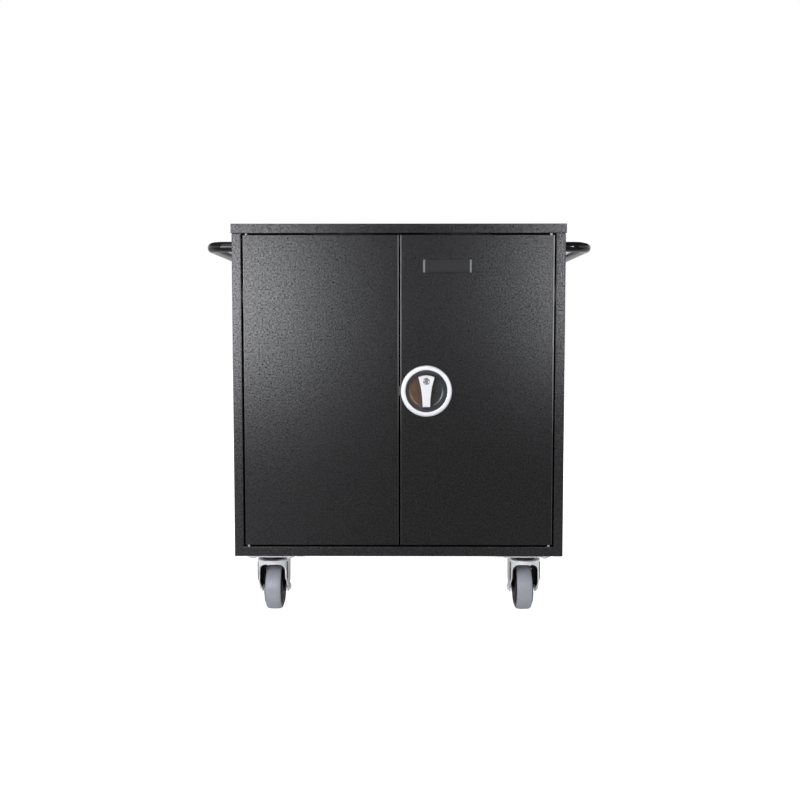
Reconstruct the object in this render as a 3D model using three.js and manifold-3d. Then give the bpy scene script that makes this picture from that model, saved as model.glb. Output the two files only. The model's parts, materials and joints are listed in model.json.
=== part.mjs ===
// Laptop charging cart: a sheet steel cabinet on four swivel castors, with two front doors,
// a rod lock, divider racks, power strips and a rear door over the charger bay.
// Millimetres, +Z up. The front faces -Y, and the origin is on the floor under the middle.

import * as THREE from 'three';
import { mergeVertices } from 'three/addons/utils/BufferGeometryUtils.js';
import Module from 'manifold-3d';

const wasm = await Module();
wasm.setup();

// Clearances
const seat = 0.3;            // between pieces that are fixed to each other
const slip = 0.3;            // between pieces that move on each other
const keeperSlip = 1.5;      // around a bolt in the hole that holds it

// Cabinet
const bodyWidth = 710;
const bodyDepth = 630;
const bodyHeight = 694;      // underside to the top of the side panels
const sheet = 1.5;
const lidHeight = 20;
const lidOverhang = 1.5;
const lidFlange = 34;        // inward flange under the lid
const postWidth = 20;        // flange of a side panel, seen from the front
const postReturn = 27;
const railHeight = 21;       // front and rear rail of the base tray
const railReturn = 34;

// Doors
const doorGap = 4;
const doorDepth = 25;
const meetGap = 3;
const meetX = 2.6;           // middle of the gap between the two doors
const pivotInset = 6;        // pivot from the door's outer edge
const pivotDepth = 7;        // pivot from the door's outer face
const pinRadius = 2.5;
const pinReach = 10;
const pinHeadRadius = 5;
const pinHeadHeight = 2;
const pinSides = 10;
const bushWall = 1.2;
const pinCollar = 2.3;       // thrust collar of the rear door's pins
const bushReach = 6;

// Inside
const shelfSetback = 55;     // shelf front from the cabinet front
const shelfLip = 20;
const partitionSetback = 130;
const cableSlotWidth = 560;
const cableSlotHeight = 40;
const cableSlotDrop = 110;   // slot's middle from the top of its bay
const rackSlots = 10;
const rackSheet = 2;
const rackMargin = 3;
const rackSetback = 65;
const rackDepth = 390;
const rackHeight = 200;
const rackCorner = 45;
const stripWidth = 580;
const stripDepth = 44;
const stripHeight = 46;
const stripDrop = 38;        // strip's top from the top of its bay, clear of the cable slot
const outlets = 10;
const outletSize = 34;
const outletRecess = 1;
const outletPitch = 50;
const outletStart = 35;      // first outlet's middle from the strip's end
const switchInset = 28;      // rocker's middle from the strip's other end
const switchLength = 24;
const switchHeight = 13;
const switchDepth = 9;
const switchRise = 2;
const switchTilt = 8;        // degrees to each side
const inletInset = 75;       // inlet's middle from the cabinet's back
const inletRise = 62;        // inlet's middle from the underside
const inletFlangeWidth = 52;
const inletFlangeHeight = 30;
const inletFlange = 3;
const inletBodyWidth = 30;
const inletBodyHeight = 23;
const inletBodyDepth = 24;
const inletWall = 2.5;

// Push handles
const tubeRadius = 11.5;
const handleReach = 72;      // tube's outer side from the side panel
const handleSpread = 480;    // between the middles of the two legs
const handleDrop = 22.5;     // tube's middle below the lid's underside
const handleBend = 33;
const tubeSides = 10;
const tubeSteps = 28;

// Lock on the right door
const lockX = 59.6;
const lockRise = 358.5;      // lock's middle from the underside
const lockProud = 8;         // turn handle's front from the door's face
const ringRadius = 54.8;
const ringProud = 4.5;
const ringEdge = 1.5;
const bowlRadius = 45;
const bowlFloorRadius = 37;
const bowlDepth = 10;
const bowlWall = 1.5;
const rosetteSides = 28;
const wedgeTop = 35;
const wedgeBottom = 17.6;
const wedgeLength = 67.6;
const wedgeCrown = 4;        // rise of the curved top edge
const wedgeSteps = 4;        // straight lengths down each curved side
const keyRadius = 7.3;
const keyRise = 21.5;
const keyDepth = 15;
const keywayWidth = 2;
const keywayLength = 8;
const keywayDepth = 3;
const spindleRadius = 5;
const pinionTeeth = 12;
const pinionRadius = 8;      // pitch circle
const toothRise = 0.9;       // beyond the pitch line
const toothSink = 1.3;       // below the pitch line
const toothShare = 0.4;      // tooth width over the pitch, on the pitch line
const toothLean = 0.36;      // flank's lean, as a slope
const barThick = 4;
const barWidth = 12;
const barGap = 1;            // between the bowl, the rods' layer and the tongue's layer
const rackEnd = 24;          // rack end from the pinion's middle
const rodSetback = 1;        // rod end from the door's end at rest
const tipChamfer = 3;
const tongueWidth = 10;
const tongueNose = 12;
const tongueTip = 0.5;       // tongue's end from the door's edge at rest
const tongueLink = 10;
const caseHalfWidth = 30;
const caseHalfHeight = 34;
const caseWall = 2;
const strikeThick = 1.9;
const strikeHeight = 20;
const strikeInset = 0.5;     // strike plate from the door's face and back edge

// Name plate
const plateX = 103.7;
const plateDrop = 65.5;      // plate's middle from the door's top
const plateWidth = 104.5;
const plateHeight = 29;
const plateThick = 1.5;
const plateRim = 2.5;
const plateSink = 0.7;

// Rear door
const ventRows = 6;
const ventPitch = 16;
const ventWidth = 150;
const ventHeight = 5;
const ventX = 160;           // middle of a vent group from the door's middle
const ventDrop = 50;         // highest vent from the door's top
const rearLockInset = 31;    // lock's middle from the door's edge
const rearLockRadius = 9;
const rearLockBody = 8;
const camLength = 45;
const camRadius = 7;
const camThick = 2;
const camGap = 0.5;

// Castors
const castorHeight = 137;
const castorSideInset = 76.5; // swivel axis from the cabinet's side
const castorInset = 50;      // swivel axis from the cabinet's front or back
const trail = 36;            // axle behind the swivel axis
const wheelRadius = 50;
const tyreHalfWidth = 18;
const tyreThick = 14;
const tyreSides = 24;
const hubHalfWidth = 24;
const hubBoss = 12;
const hubSides = 16;
const discRadius = 39;       // the hub's discs cover the tyre's sides
const discThick = 1.7;
const axleRadius = 4;
const nutRadius = 7.5;
const nutThick = 4;
const castorPlateX = 105;
const castorPlateY = 85;
const castorPlateThick = 3.5;
const castorBoltX = 80;
const castorBoltY = 60;
const castorBoltHead = 5.5;
const raceTopRadius = 35;
const raceRadius = 31;
const raceHeight = 5.5;
const raceCore = 23;
const raceGap = 5.5;
const raceSides = 16;
const kingpinRadius = 6;
const kingpinHead = 9;
const forkHalfWidth = 33.5;
const forkAxleHalfWidth = 30;
const forkWall = 3;
const forkCrown = 7.5;
const forkCorner = 15;
const forkShoulder = 27;     // below the crown's top, where the legs start to taper
const forkBoss = 11;
const forkKnee = [-13, 30];   // a leg's front edge sweeps back from here, as depth and rise over the axle
const forkSweep = [3, 12];    // and through here to the axle

// Faces and heights that follow from the sizes above
const halfWidth = bodyWidth / 2;
const front = -bodyDepth / 2;
const back = bodyDepth / 2;
const underside = castorHeight;
const floorTop = underside + sheet;
const railTop = underside + railHeight;
const postTop = underside + bodyHeight;
const lidTop = postTop + lidHeight;
const innerHalf = halfWidth - sheet - seat;
const postInner = halfWidth - postWidth;
const doorOuter = postInner - doorGap;
const doorBottom = railTop + doorGap;
const doorTop = postTop - doorGap;
const leftMeet = meetX - meetGap / 2;
const rightMeet = meetX + meetGap / 2;
const pivotX = doorOuter - pivotInset;
const bushRadius = pinRadius + slip + bushWall;
const shelfFront = front + shelfSetback;
const partitionFront = back - partitionSetback;
const partitionBack = partitionFront + sheet;
const shelfTop = (floorTop + postTop + shelfLip) / 2;
const lockZ = underside + lockRise;
const bowlFloor = front + bowlDepth;
const bowlBack = bowlFloor + bowlWall;
const rodFront = bowlBack + barGap;
const rodBack = rodFront + barThick;
const tongueFront = rodBack + barGap;
const tongueBack = tongueFront + barThick;
const pinionBack = tongueBack + slip;
const rootLine = pinionRadius + toothSink;
const rearLockX = doorOuter - rearLockInset;
const castorX = halfWidth - castorSideInset;
const axleZ = wheelRadius;
const crownTop = castorHeight - seat - castorPlateThick - raceHeight - raceGap - slip;
const archTop = crownTop - forkCrown;

const finishes = {
  coat: { color: 0x232325, roughness: 0.55, metalness: 0.1 },
  tube: { color: 0x0c0c0d, roughness: 0.2, metalness: 0.1 },
  zinc: { color: 0xd8dadd, roughness: 0.3, metalness: 0.9 },
  satin: { color: 0xe6e8ea, roughness: 0.3, metalness: 0.8 },
  chrome: { color: 0xb9bbbe, roughness: 0.1, metalness: 1.0 },
  steel: { color: 0x9a9c9f, roughness: 0.4, metalness: 0.9 },
  nylon: { color: 0xeeeeea, roughness: 0.5, metalness: 0.0 },
  plastic: { color: 0x141415, roughness: 0.5, metalness: 0.0 },
  tread: { color: 0x9b9da8, roughness: 0.6, metalness: 0.0 },
  rocker: { color: 0x8c1a16, roughness: 0.35, metalness: 0.0 },
};

const cart = new THREE.Group();

// Solids from geometries
function solid(geometry) {
  geometry.deleteAttribute('normal');
  geometry.deleteAttribute('uv');
  const merged = mergeVertices(geometry, 1e-4);
  const corners = merged.index.array;
  const kept = [];
  for (let i = 0; i < corners.length; i += 3) {
    const [a, b, c] = [corners[i], corners[i + 1], corners[i + 2]];
    if (a !== b && b !== c && c !== a) kept.push(a, b, c);
  }
  return new wasm.Manifold(new wasm.Mesh({
    numProp: 3,
    vertProperties: new Float32Array(merged.attributes.position.array),
    triVerts: new Uint32Array(kept),
  }));
}

function block(x0, x1, y0, y1, z0, z1) {
  const box = new THREE.BoxGeometry(Math.abs(x1 - x0), Math.abs(y1 - y0), Math.abs(z1 - z0));
  return solid(box.translate((x0 + x1) / 2, (y0 + y1) / 2, (z0 + z1) / 2));
}

function extrusion(points, depth) {
  const shape = new THREE.Shape(points.map(([a, b]) => new THREE.Vector2(a, b)));
  return new THREE.ExtrudeGeometry(shape, { depth, bevelEnabled: false });
}

// An outline in X and Y, raised along Z
function prismZ(points, z0, z1) {
  return solid(extrusion(points, z1 - z0).translate(0, 0, z0));
}

// An outline in X and Z, run along Y
function prismY(points, y0, y1) {
  return solid(extrusion(points, y1 - y0).rotateX(Math.PI / 2).translate(0, y1, 0));
}

// An outline in Y and Z, run along X
function prismX(points, x0, x1) {
  const run = extrusion(points, x1 - x0).rotateY(Math.PI / 2).rotateX(Math.PI / 2);
  return solid(run.translate(x0, 0, 0));
}

const turns = {
  x: (geometry) => geometry.rotateZ(-Math.PI / 2),
  y: (geometry) => geometry,
  z: (geometry) => geometry.rotateX(Math.PI / 2),
};

// A round bar along an axis, between two places on that axis
function bar(axis, radius, from, to, x, y, z, sides) {
  const cylinder = new THREE.CylinderGeometry(radius, radius, Math.abs(to - from), sides);
  const turned = turns[axis](cylinder.translate(0, (from + to) / 2, 0));
  return solid(turned.translate(x, y, z));
}

// A closed profile of radius and height, turned about an axis with a flat side down
function turned(axis, profile, sides) {
  const points = profile.map(([radius, height]) => new THREE.Vector2(radius, height));
  points.push(points[0].clone());
  return solid(turns[axis](new THREE.LatheGeometry(points, sides, Math.PI / sides)));
}

// Points on an arc, in degrees, both ends included
function arc(a, b, radius, from, to, steps) {
  const points = [];
  for (let i = 0; i <= steps; i += 1) {
    const angle = THREE.MathUtils.degToRad(from + (to - from) * i / steps);
    points.push([a + radius * Math.cos(angle), b + radius * Math.sin(angle)]);
  }
  return points;
}

function add(name, body, finish, group = cart) {
  const mesh = body.getMesh();
  const geometry = new THREE.BufferGeometry();
  geometry.setAttribute('position', new THREE.BufferAttribute(mesh.vertProperties, 3));
  geometry.setIndex(new THREE.BufferAttribute(mesh.triVerts, 1));
  geometry.computeVertexNormals();
  const piece = new THREE.Mesh(geometry, new THREE.MeshStandardMaterial(finishes[finish]));
  piece.name = name;
  group.add(piece);
}

// Side panels
function sidePanel(side) {
  const outline = [
    [halfWidth, front],
    [halfWidth, back],
    [postInner, back],
    [postInner, back - postReturn],
    [postInner + sheet, back - postReturn],
    [postInner + sheet, back - sheet],
    [halfWidth - sheet, back - sheet],
    [halfWidth - sheet, front + sheet],
    [postInner + sheet, front + sheet],
    [postInner + sheet, front + postReturn],
    [postInner, front + postReturn],
    [postInner, front],
  ];
  return prismZ(outline.map(([x, y]) => [side * x, y]), underside, postTop - seat);
}

const inletY = back - inletInset;
const inletZ = underside + inletRise;
const inletHole = block(
  halfWidth - 2 * sheet,
  halfWidth + sheet,
  inletY - inletBodyWidth / 2 - seat,
  inletY + inletBodyWidth / 2 + seat,
  inletZ - inletBodyHeight / 2 - seat,
  inletZ + inletBodyHeight / 2 + seat,
);
add('left_side_panel', sidePanel(-1), 'coat');
add('right_side_panel', sidePanel(1).subtract(inletHole), 'coat');

// Rods of the lock: the upper one is on the pinion's right, the lower one on its left
const rodX = { upper: lockX + rootLine, lower: lockX - rootLine - barWidth };

function rodHole(which, slack, z0, z1) {
  const x = rodX[which];
  return block(x - slack, x + barWidth + slack, rodFront - slack, rodBack + slack, z0, z1);
}

function pivotHole(radius, x, y, z0, z1) {
  return bar('z', radius, z0, z1, x, y, 0, pinSides);
}

// Pivots of the three doors; the rear door turns on its pins without bushes
const pivots = [
  { name: 'left_door', x: -pivotX, y: front + pivotDepth, bushed: true },
  { name: 'right_door', x: pivotX, y: front + pivotDepth, bushed: true },
  { name: 'rear_door', x: -pivotX, y: back - pivotDepth, bushed: false },
];

// Base tray
function baseTray() {
  const x1 = postInner - seat;
  const y1 = back - postReturn - seat;
  const quarter = [[x1, back], [x1, y1], [innerHalf, y1]];
  const half = [...quarter, ...quarter.toReversed().map(([x, y]) => [x, -y])];
  const floor = [...half, ...half.toReversed().map(([x, y]) => [-x, y])];
  let tray = prismZ(floor, underside, floorTop);
  for (const end of [-1, 1]) {
    tray = tray.add(block(-x1, x1, end * back, end * (back - sheet), underside, railTop));
    tray = tray.add(block(-x1, x1, end * back, end * (back - railReturn), railTop - sheet, railTop));
    tray = tray.add(block(end * innerHalf, end * (innerHalf - sheet), -y1, y1, underside, railTop));
  }
  for (const { x, y } of pivots) {
    tray = tray.subtract(pivotHole(pinRadius + seat, x, y, railTop - 2 * sheet, railTop + sheet));
  }
  return tray.subtract(rodHole('lower', keeperSlip, railTop - 2 * sheet, railTop + sheet));
}
add('base_tray', baseTray(), 'coat');

// Lid
function lid() {
  const x1 = halfWidth + lidOverhang;
  const y1 = back + lidOverhang;
  const [x2, y2] = [x1 - sheet, y1 - sheet];
  const [x3, y3] = [x1 - lidFlange, y1 - lidFlange];
  let tray = block(-x1, x1, -y1, y1, postTop, lidTop);
  tray = tray.subtract(block(-x2, x2, -y2, y2, postTop + sheet, lidTop - sheet));
  tray = tray.subtract(block(-x3, x3, -y3, y3, postTop - sheet, postTop + 2 * sheet));
  for (const { x, y } of pivots) {
    tray = tray.subtract(pivotHole(pinRadius + seat, x, y, postTop - sheet, postTop + 2 * sheet));
  }
  return tray.subtract(rodHole('upper', keeperSlip, postTop - sheet, postTop + 2 * sheet));
}
add('top_lid', lid(), 'coat');

// Shelf and partition
function shelf() {
  const [y0, y1] = [shelfFront, partitionFront - seat];
  const under = shelfTop - shelfLip;
  const hollow = innerHalf - sheet;
  return block(-innerHalf, innerHalf, y0, y1, under, shelfTop)
    .subtract(block(-hollow, hollow, y0 + sheet, y1 - sheet, under - 1, shelfTop - sheet));
}
add('middle_shelf', shelf(), 'coat');

const bays = [
  { name: 'lower', floor: floorTop, ceiling: shelfTop - shelfLip },
  { name: 'upper', floor: shelfTop, ceiling: postTop },
];

// The partition stands between the tray's side walls
function partition() {
  const half = innerHalf - sheet - seat;
  let panel = block(-half, half, partitionFront, partitionBack, floorTop + seat, postTop - seat);
  for (const { ceiling } of bays) {
    const middle = ceiling - cableSlotDrop;
    panel = panel.subtract(block(
      -cableSlotWidth / 2,
      cableSlotWidth / 2,
      partitionFront - sheet,
      partitionBack + sheet,
      middle - cableSlotHeight / 2,
      middle + cableSlotHeight / 2,
    ));
  }
  return panel;
}
add('charger_partition', partition(), 'coat');

// Divider racks
const rackHalf = postInner - rackMargin;
const rackFront = front + rackSetback;
const slotPitch = 2 * rackHalf / rackSlots;

function dividerRack(floor) {
  const bottom = floor + seat;
  const [y0, y1, top] = [rackFront, rackFront + rackDepth, bottom + rackHeight];
  const divider = [
    [y0, bottom],
    [y1, bottom],
    ...arc(y1 - rackCorner, top - rackCorner, rackCorner, 0, 90, 4),
    ...arc(y0 + rackCorner, top - rackCorner, rackCorner, 90, 180, 4),
  ];
  let rack = block(-rackHalf, rackHalf, y0, y1, bottom, bottom + rackSheet);
  for (let i = 1; i < rackSlots; i += 1) {
    const x = -rackHalf + i * slotPitch;
    rack = rack.add(prismX(divider, x - rackSheet / 2, x + rackSheet / 2));
  }
  return rack;
}
for (const { name, floor } of bays) add(`${name}_divider_rack`, dividerRack(floor), 'coat');

// Power strips with their rocker switches
const stripFront = partitionBack + seat;
const stripFace = stripFront + stripDepth;
const switchX = stripWidth / 2 - switchInset;

function powerStrip(top) {
  const [z0, z1] = [top - stripHeight, top];
  const middle = (z0 + z1) / 2;
  let strip = block(-stripWidth / 2, stripWidth / 2, stripFront, stripFace, z0, z1);
  for (let i = 0; i < outlets; i += 1) {
    const x = -stripWidth / 2 + outletStart + i * outletPitch;
    const [half, floor] = [outletSize / 2, stripFace - outletRecess];
    strip = strip.subtract(
      block(x - half, x + half, floor, stripFace + 1, middle - half, middle + half),
    );
  }
  const wide = switchLength / 2 + switchRise;
  const tall = switchHeight / 2 + slip;
  const floor = stripFace - switchDepth - switchRise;
  return strip.subtract(block(
    switchX - wide, switchX + wide, floor, stripFace + 1, middle - tall, middle + tall,
  ));
}

// The rocker's pivot is a third of its depth under the strip's face
const rockerPivotY = stripFace - switchDepth / 3;

function rockerSwitch(top) {
  const middle = top - stripHeight / 2;
  const half = switchLength / 2;
  const outline = [
    [-half, stripFace + switchRise],
    [-half * 3 / 4, stripFace - switchDepth * 3 / 4],
    [half * 3 / 4, stripFace - switchDepth * 3 / 4],
    [half, stripFace + switchRise],
    [0, stripFace + switchRise / 8],
  ].map(([x, y]) => [x, y - rockerPivotY]);
  const rocker = prismZ(outline, middle - switchHeight / 2, middle + switchHeight / 2);
  return rocker.rotate([0, 0, -switchTilt]).translate([switchX, rockerPivotY, 0]);
}
for (const { name, ceiling } of bays) {
  add(`${name}_power_strip`, powerStrip(ceiling - stripDrop), 'plastic');
  add(`${name}_strip_switch`, rockerSwitch(ceiling - stripDrop), 'rocker');
}

// Mains inlet in the right side panel
function powerInlet() {
  const outside = halfWidth + seat;
  const face = outside + inletFlange;
  const centred = (width, height, x0, x1) => block(
    x0, x1, inletY - width / 2, inletY + width / 2, inletZ - height / 2, inletZ + height / 2,
  );
  const body = centred(inletBodyWidth, inletBodyHeight, outside - inletBodyDepth, outside + 1);
  const recess = centred(
    inletBodyWidth - 2 * inletWall,
    inletBodyHeight - 2 * inletWall,
    outside - inletBodyDepth + inletWall,
    face + 1,
  );
  return centred(inletFlangeWidth, inletFlangeHeight, outside, face).add(body).subtract(recess);
}
add('power_inlet', powerInlet(), 'plastic');

// Push handles
function pushHandle(side) {
  const z = postTop - handleDrop;
  const inner = side * (halfWidth + seat);
  const outer = side * (halfWidth + handleReach - tubeRadius);
  const bend = outer - side * handleBend;
  const half = handleSpread / 2;
  const at = (x, y) => new THREE.Vector3(x, y, z);
  const path = new THREE.CurvePath();
  path.add(new THREE.LineCurve3(at(inner, -half), at(bend, -half)));
  path.add(new THREE.QuadraticBezierCurve3(
    at(bend, -half), at(outer, -half), at(outer, handleBend - half),
  ));
  path.add(new THREE.LineCurve3(at(outer, handleBend - half), at(outer, half - handleBend)));
  path.add(new THREE.QuadraticBezierCurve3(
    at(outer, half - handleBend), at(outer, half), at(bend, half),
  ));
  path.add(new THREE.LineCurve3(at(bend, half), at(inner, half)));
  const round = arc(0, 0, tubeRadius, 0, 360 - 360 / tubeSides, tubeSides - 1);
  const section = new THREE.Shape(round.map(([a, b]) => new THREE.Vector2(a, b)));
  const settings = { steps: tubeSteps, extrudePath: path, bevelEnabled: false };
  return solid(new THREE.ExtrudeGeometry(section, settings));
}
add('left_push_handle', pushHandle(-1), 'tube');
add('right_push_handle', pushHandle(1), 'tube');

// Hinge pins in the frame: nylon bushes in the front doors, a collar on each pin of the rear door
for (const { name, x, y, bushed } of pivots) {
  for (const [end, way, doorEnd] of [['top', 1, doorTop], ['bottom', -1, doorBottom]]) {
    const frame = doorEnd + way * doorGap;
    const head = frame + way * (sheet + seat);
    const pin = bar('z', pinRadius, doorEnd - way * pinReach, head, x, y, 0, pinSides)
      .add(bar('z', pinHeadRadius, head, head + way * pinHeadHeight, x, y, 0, pinSides));
    if (bushed) {
      const face = doorEnd + way * seat;
      const sleeve = bar('z', bushRadius, doorEnd - way * bushReach, face, x, y, 0, pinSides);
      const bore = pivotHole(pinRadius + slip, x, y, doorEnd - 2 * doorGap, doorEnd + 2 * doorGap);
      add(`${name}_${end}_pin`, pin, 'steel');
      add(`${name}_${end}_bush`, sleeve.subtract(bore), 'nylon');
    } else {
      const [near, far] = [doorEnd + way * slip, frame - way * slip];
      const collar = bar('z', pinRadius + pinCollar, near, far, x, y, 0, pinSides);
      add(`${name}_${end}_pin`, pin.add(collar), 'steel');
    }
  }
}

// A door: a shallow pan, open towards the inside of the cabinet
function doorPan(x0, x1, face, inward, pivot) {
  const open = face + inward * doorDepth;
  let pan = block(x0, x1, face, open, doorBottom, doorTop).subtract(block(
    x0 + sheet, x1 - sheet, face + inward * sheet, open + inward, doorBottom + sheet, doorTop - sheet,
  ));
  const hole = pivot.bushed ? bushRadius + seat : pinRadius + slip;
  for (const end of [doorBottom, doorTop]) {
    pan = pan.subtract(pivotHole(hole, pivot.x, pivot.y, end - 2 * sheet, end + 2 * sheet));
  }
  return pan;
}

// Hole in the doors' meeting edges for the tongue: it is guided in the right one and held in the left one
function tongueHole(slack) {
  return block(
    leftMeet - 2 * sheet,
    rightMeet + 2 * sheet,
    tongueFront - slack,
    tongueBack + slack,
    lockZ - tongueNose / 2 - slack,
    lockZ + tongueNose / 2 + slack,
  );
}
const leftDoor = doorPan(-doorOuter, leftMeet, front, 1, pivots[0]);
add('left_door', leftDoor.subtract(tongueHole(keeperSlip)), 'coat');

const bowlHole = bar(
  'y', bowlRadius + bowlWall + seat, front - sheet, front + 2 * sheet, lockX, 0, lockZ, rosetteSides,
);
const rightDoor = doorPan(rightMeet, doorOuter, front, 1, pivots[1])
  .subtract(tongueHole(slip))
  .subtract(bowlHole)
  .subtract(rodHole('upper', slip, doorTop - 2 * sheet, doorTop + sheet))
  .subtract(rodHole('lower', slip, doorBottom - sheet, doorBottom + 2 * sheet));
add('right_door', rightDoor, 'coat');

// Strike plate on the left door's meeting edge
function strikePlate() {
  const x0 = leftMeet + seat;
  const half = strikeHeight / 2;
  const [y0, y1] = [front + strikeInset, front + doorDepth - strikeInset];
  return block(x0, x0 + strikeThick, y0, y1, lockZ - half, lockZ + half)
    .subtract(tongueHole(keeperSlip));
}
add('strike_plate', strikePlate(), 'coat');

// Bare name plate on the right door
function namePlate() {
  const z = doorTop - plateDrop;
  const [halfX, halfZ, y1] = [plateWidth / 2, plateHeight / 2, front - seat];
  const y0 = y1 - plateThick;
  const sunk = block(
    plateX - halfX + plateRim,
    plateX + halfX - plateRim,
    y0 - 1,
    y0 + plateSink,
    z - halfZ + plateRim,
    z + halfZ - plateRim,
  );
  return block(plateX - halfX, plateX + halfX, y0, y1, z - halfZ, z + halfZ).subtract(sunk);
}
add('name_plate', namePlate(), 'coat');

// Lock rosette: a raised ring around a shallow bowl
function rosette() {
  const ringFront = front - ringProud;
  const ringBack = front - seat;
  const profile = [
    [spindleRadius + slip, bowlFloor],
    [bowlFloorRadius, bowlFloor],
    [bowlRadius, ringFront + ringEdge],
    [bowlRadius + ringEdge, ringFront],
    [ringRadius - 2 * ringEdge, ringFront],
    [ringRadius, ringFront + 2 * ringEdge],
    [ringRadius, ringBack],
    [bowlRadius + bowlWall, ringBack],
    [bowlFloorRadius + bowlWall, bowlBack],
    [spindleRadius + slip, bowlBack],
  ];
  return turned('y', profile, rosetteSides).translate([lockX, 0, lockZ]);
}
add('lock_rosette', rosette(), 'satin');

// Turn handle with the key cylinder in its wide end
const handleBack = bowlFloor - slip;
const handleFront = front - lockProud;
const keyBore = handleFront + keyDepth;

function turnHandle() {
  const [top, bottom] = [wedgeTop / 2, wedgeBottom / 2];
  const half = wedgeLength / 2;
  const crown = (u) => [lockX + u * top, lockZ + half - wedgeCrown * u * u];
  const flank = [];
  for (let i = 0; i < wedgeSteps; i += 1) {
    const t = i / wedgeSteps;
    flank.push([bottom + (top - bottom) * t * t, lockZ - half + t * (wedgeLength - wedgeCrown)]);
  }
  const outline = [
    ...flank.map(([out, z]) => [lockX + out, z]),
    ...[1, 0.5, 0, -0.5, -1].map(crown),
    ...flank.toReversed().map(([out, z]) => [lockX - out, z]),
  ];
  const hole = bar(
    'y', keyRadius + slip, handleFront - 1, keyBore, lockX, 0, lockZ + keyRise, 20,
  );
  return prismY(outline, handleFront, handleBack).subtract(hole);
}
add('turn_handle', turnHandle(), 'satin');

function keyCylinder() {
  const keyway = block(
    lockX - keywayWidth / 2,
    lockX + keywayWidth / 2,
    handleFront - 1,
    handleFront + keywayDepth,
    lockZ + keyRise - keywayLength / 2,
    lockZ + keyRise + keywayLength / 2,
  );
  const barrel = bar(
    'y', keyRadius, handleFront, keyBore - slip, lockX, 0, lockZ + keyRise, 20,
  );
  return barrel.subtract(keyway);
}
add('key_cylinder', keyCylinder(), 'chrome');

// Teeth: half a tooth's width at a height over the pitch line
const toothPitch = 2 * Math.PI * pinionRadius / pinionTeeth;
const toothHalf = (height) => toothPitch * toothShare / 2 - height * toothLean;

// Spindle and pinion behind the bowl
function pinion() {
  const outline = [];
  for (let i = 0; i < pinionTeeth; i += 1) {
    const middle = 2 * Math.PI * i / pinionTeeth;
    for (const [height, side] of [[-toothSink, -1], [toothRise, -1], [toothRise, 1], [-toothSink, 1]]) {
      const radius = pinionRadius + height;
      const angle = middle + side * toothHalf(height) / pinionRadius;
      outline.push([lockX + radius * Math.cos(angle), lockZ + radius * Math.sin(angle)]);
    }
  }
  return prismY(outline, bowlBack + slip, pinionBack)
    .add(bar('y', spindleRadius, handleBack + seat, bowlBack + 1, lockX, 0, lockZ, 16));
}
add('lock_pinion', pinion(), 'steel');

// Rack teeth along a bar, as [place along the bar, distance from the pinion's middle]
function rackTeeth(from, to) {
  const points = [];
  for (let i = Math.ceil(from / toothPitch); (i + 1) * toothPitch <= to; i += 1) {
    const middle = (i + 0.5) * toothPitch;
    for (const [height, side] of [[-toothSink, -1], [toothRise, -1], [toothRise, 1], [-toothSink, 1]]) {
      points.push([middle + side * toothHalf(height), pinionRadius - height]);
    }
  }
  return points;
}

// A lock rod: a flat bar with a rack at the pinion and a chamfered tip at the door's end
function lockRod(way, doorEnd) {
  const tip = way * (doorEnd - lockZ) - rodSetback;
  const outer = rootLine + barWidth;
  const outline = [
    [-rackEnd, rootLine],
    ...rackTeeth(-rackEnd, 2 * toothPitch),
    [tip - tipChamfer, rootLine],
    [tip, rootLine + tipChamfer],
    [tip, outer - tipChamfer],
    [tip - tipChamfer, outer],
    [-rackEnd, outer],
  ];
  return prismY(
    outline.map(([along, out]) => [lockX + way * out, lockZ + way * along]), rodFront, rodBack,
  );
}
add('upper_lock_rod', lockRod(1, doorTop), 'zinc');
add('lower_lock_rod', lockRod(-1, doorBottom), 'zinc');

// The tongue: a rack over the pinion, cranked down to a nose in the door's edge
function tongue() {
  const tip = lockX - rightMeet - tongueTip;
  const travel = pinionRadius * Math.PI / 2;
  const link = lockX - rightMeet - sheet - travel - tongueTip;
  const outline = [
    [-rackEnd, rootLine],
    ...rackTeeth(-rackEnd, 2 * toothPitch),
    [link - tongueLink, rootLine],
    [link - tongueLink, -tongueNose / 2],
    [tip, -tongueNose / 2],
    [tip, tongueNose / 2],
    [link, tongueNose / 2],
    [link, rootLine + tongueWidth],
    [-rackEnd, rootLine + tongueWidth],
  ];
  return prismY(
    outline.map(([along, up]) => [lockX - along, lockZ + up]), tongueFront, tongueBack,
  );
}
add('lock_tongue', tongue(), 'zinc');

// Lock case: a cover over the pinion, open towards the bowl
function lockCase() {
  const [y0, y1] = [bowlBack + seat, pinionBack + slip + caseWall];
  const centred = (halfX, halfZ, from, to) => block(
    lockX - halfX, lockX + halfX, from, to, lockZ - halfZ, lockZ + halfZ,
  );
  const inside = centred(
    caseHalfWidth - caseWall, caseHalfHeight - caseWall, y0 - 1, y1 - caseWall,
  );
  const wall = caseWall + 1;
  const notch = (x0, x1, z0, z1, depth) => block(x0, x1, y0 - 1, depth + slip, z0, z1);
  const top = lockZ + caseHalfHeight;
  const bottom = lockZ - caseHalfHeight;
  const left = lockX - caseHalfWidth;
  return centred(caseHalfWidth, caseHalfHeight, y0, y1)
    .subtract(inside)
    .subtract(notch(rodX.upper - slip, rodX.upper + barWidth + slip, top - wall, top + 1, rodBack))
    .subtract(notch(rodX.lower - slip, rodX.lower + barWidth + slip, bottom - 1, bottom + wall, rodBack))
    .subtract(notch(
      left - 1,
      left + wall,
      lockZ + rootLine - slip,
      lockZ + rootLine + tongueWidth + slip,
      tongueBack,
    ));
}
add('lock_case', lockCase(), 'steel');

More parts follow.
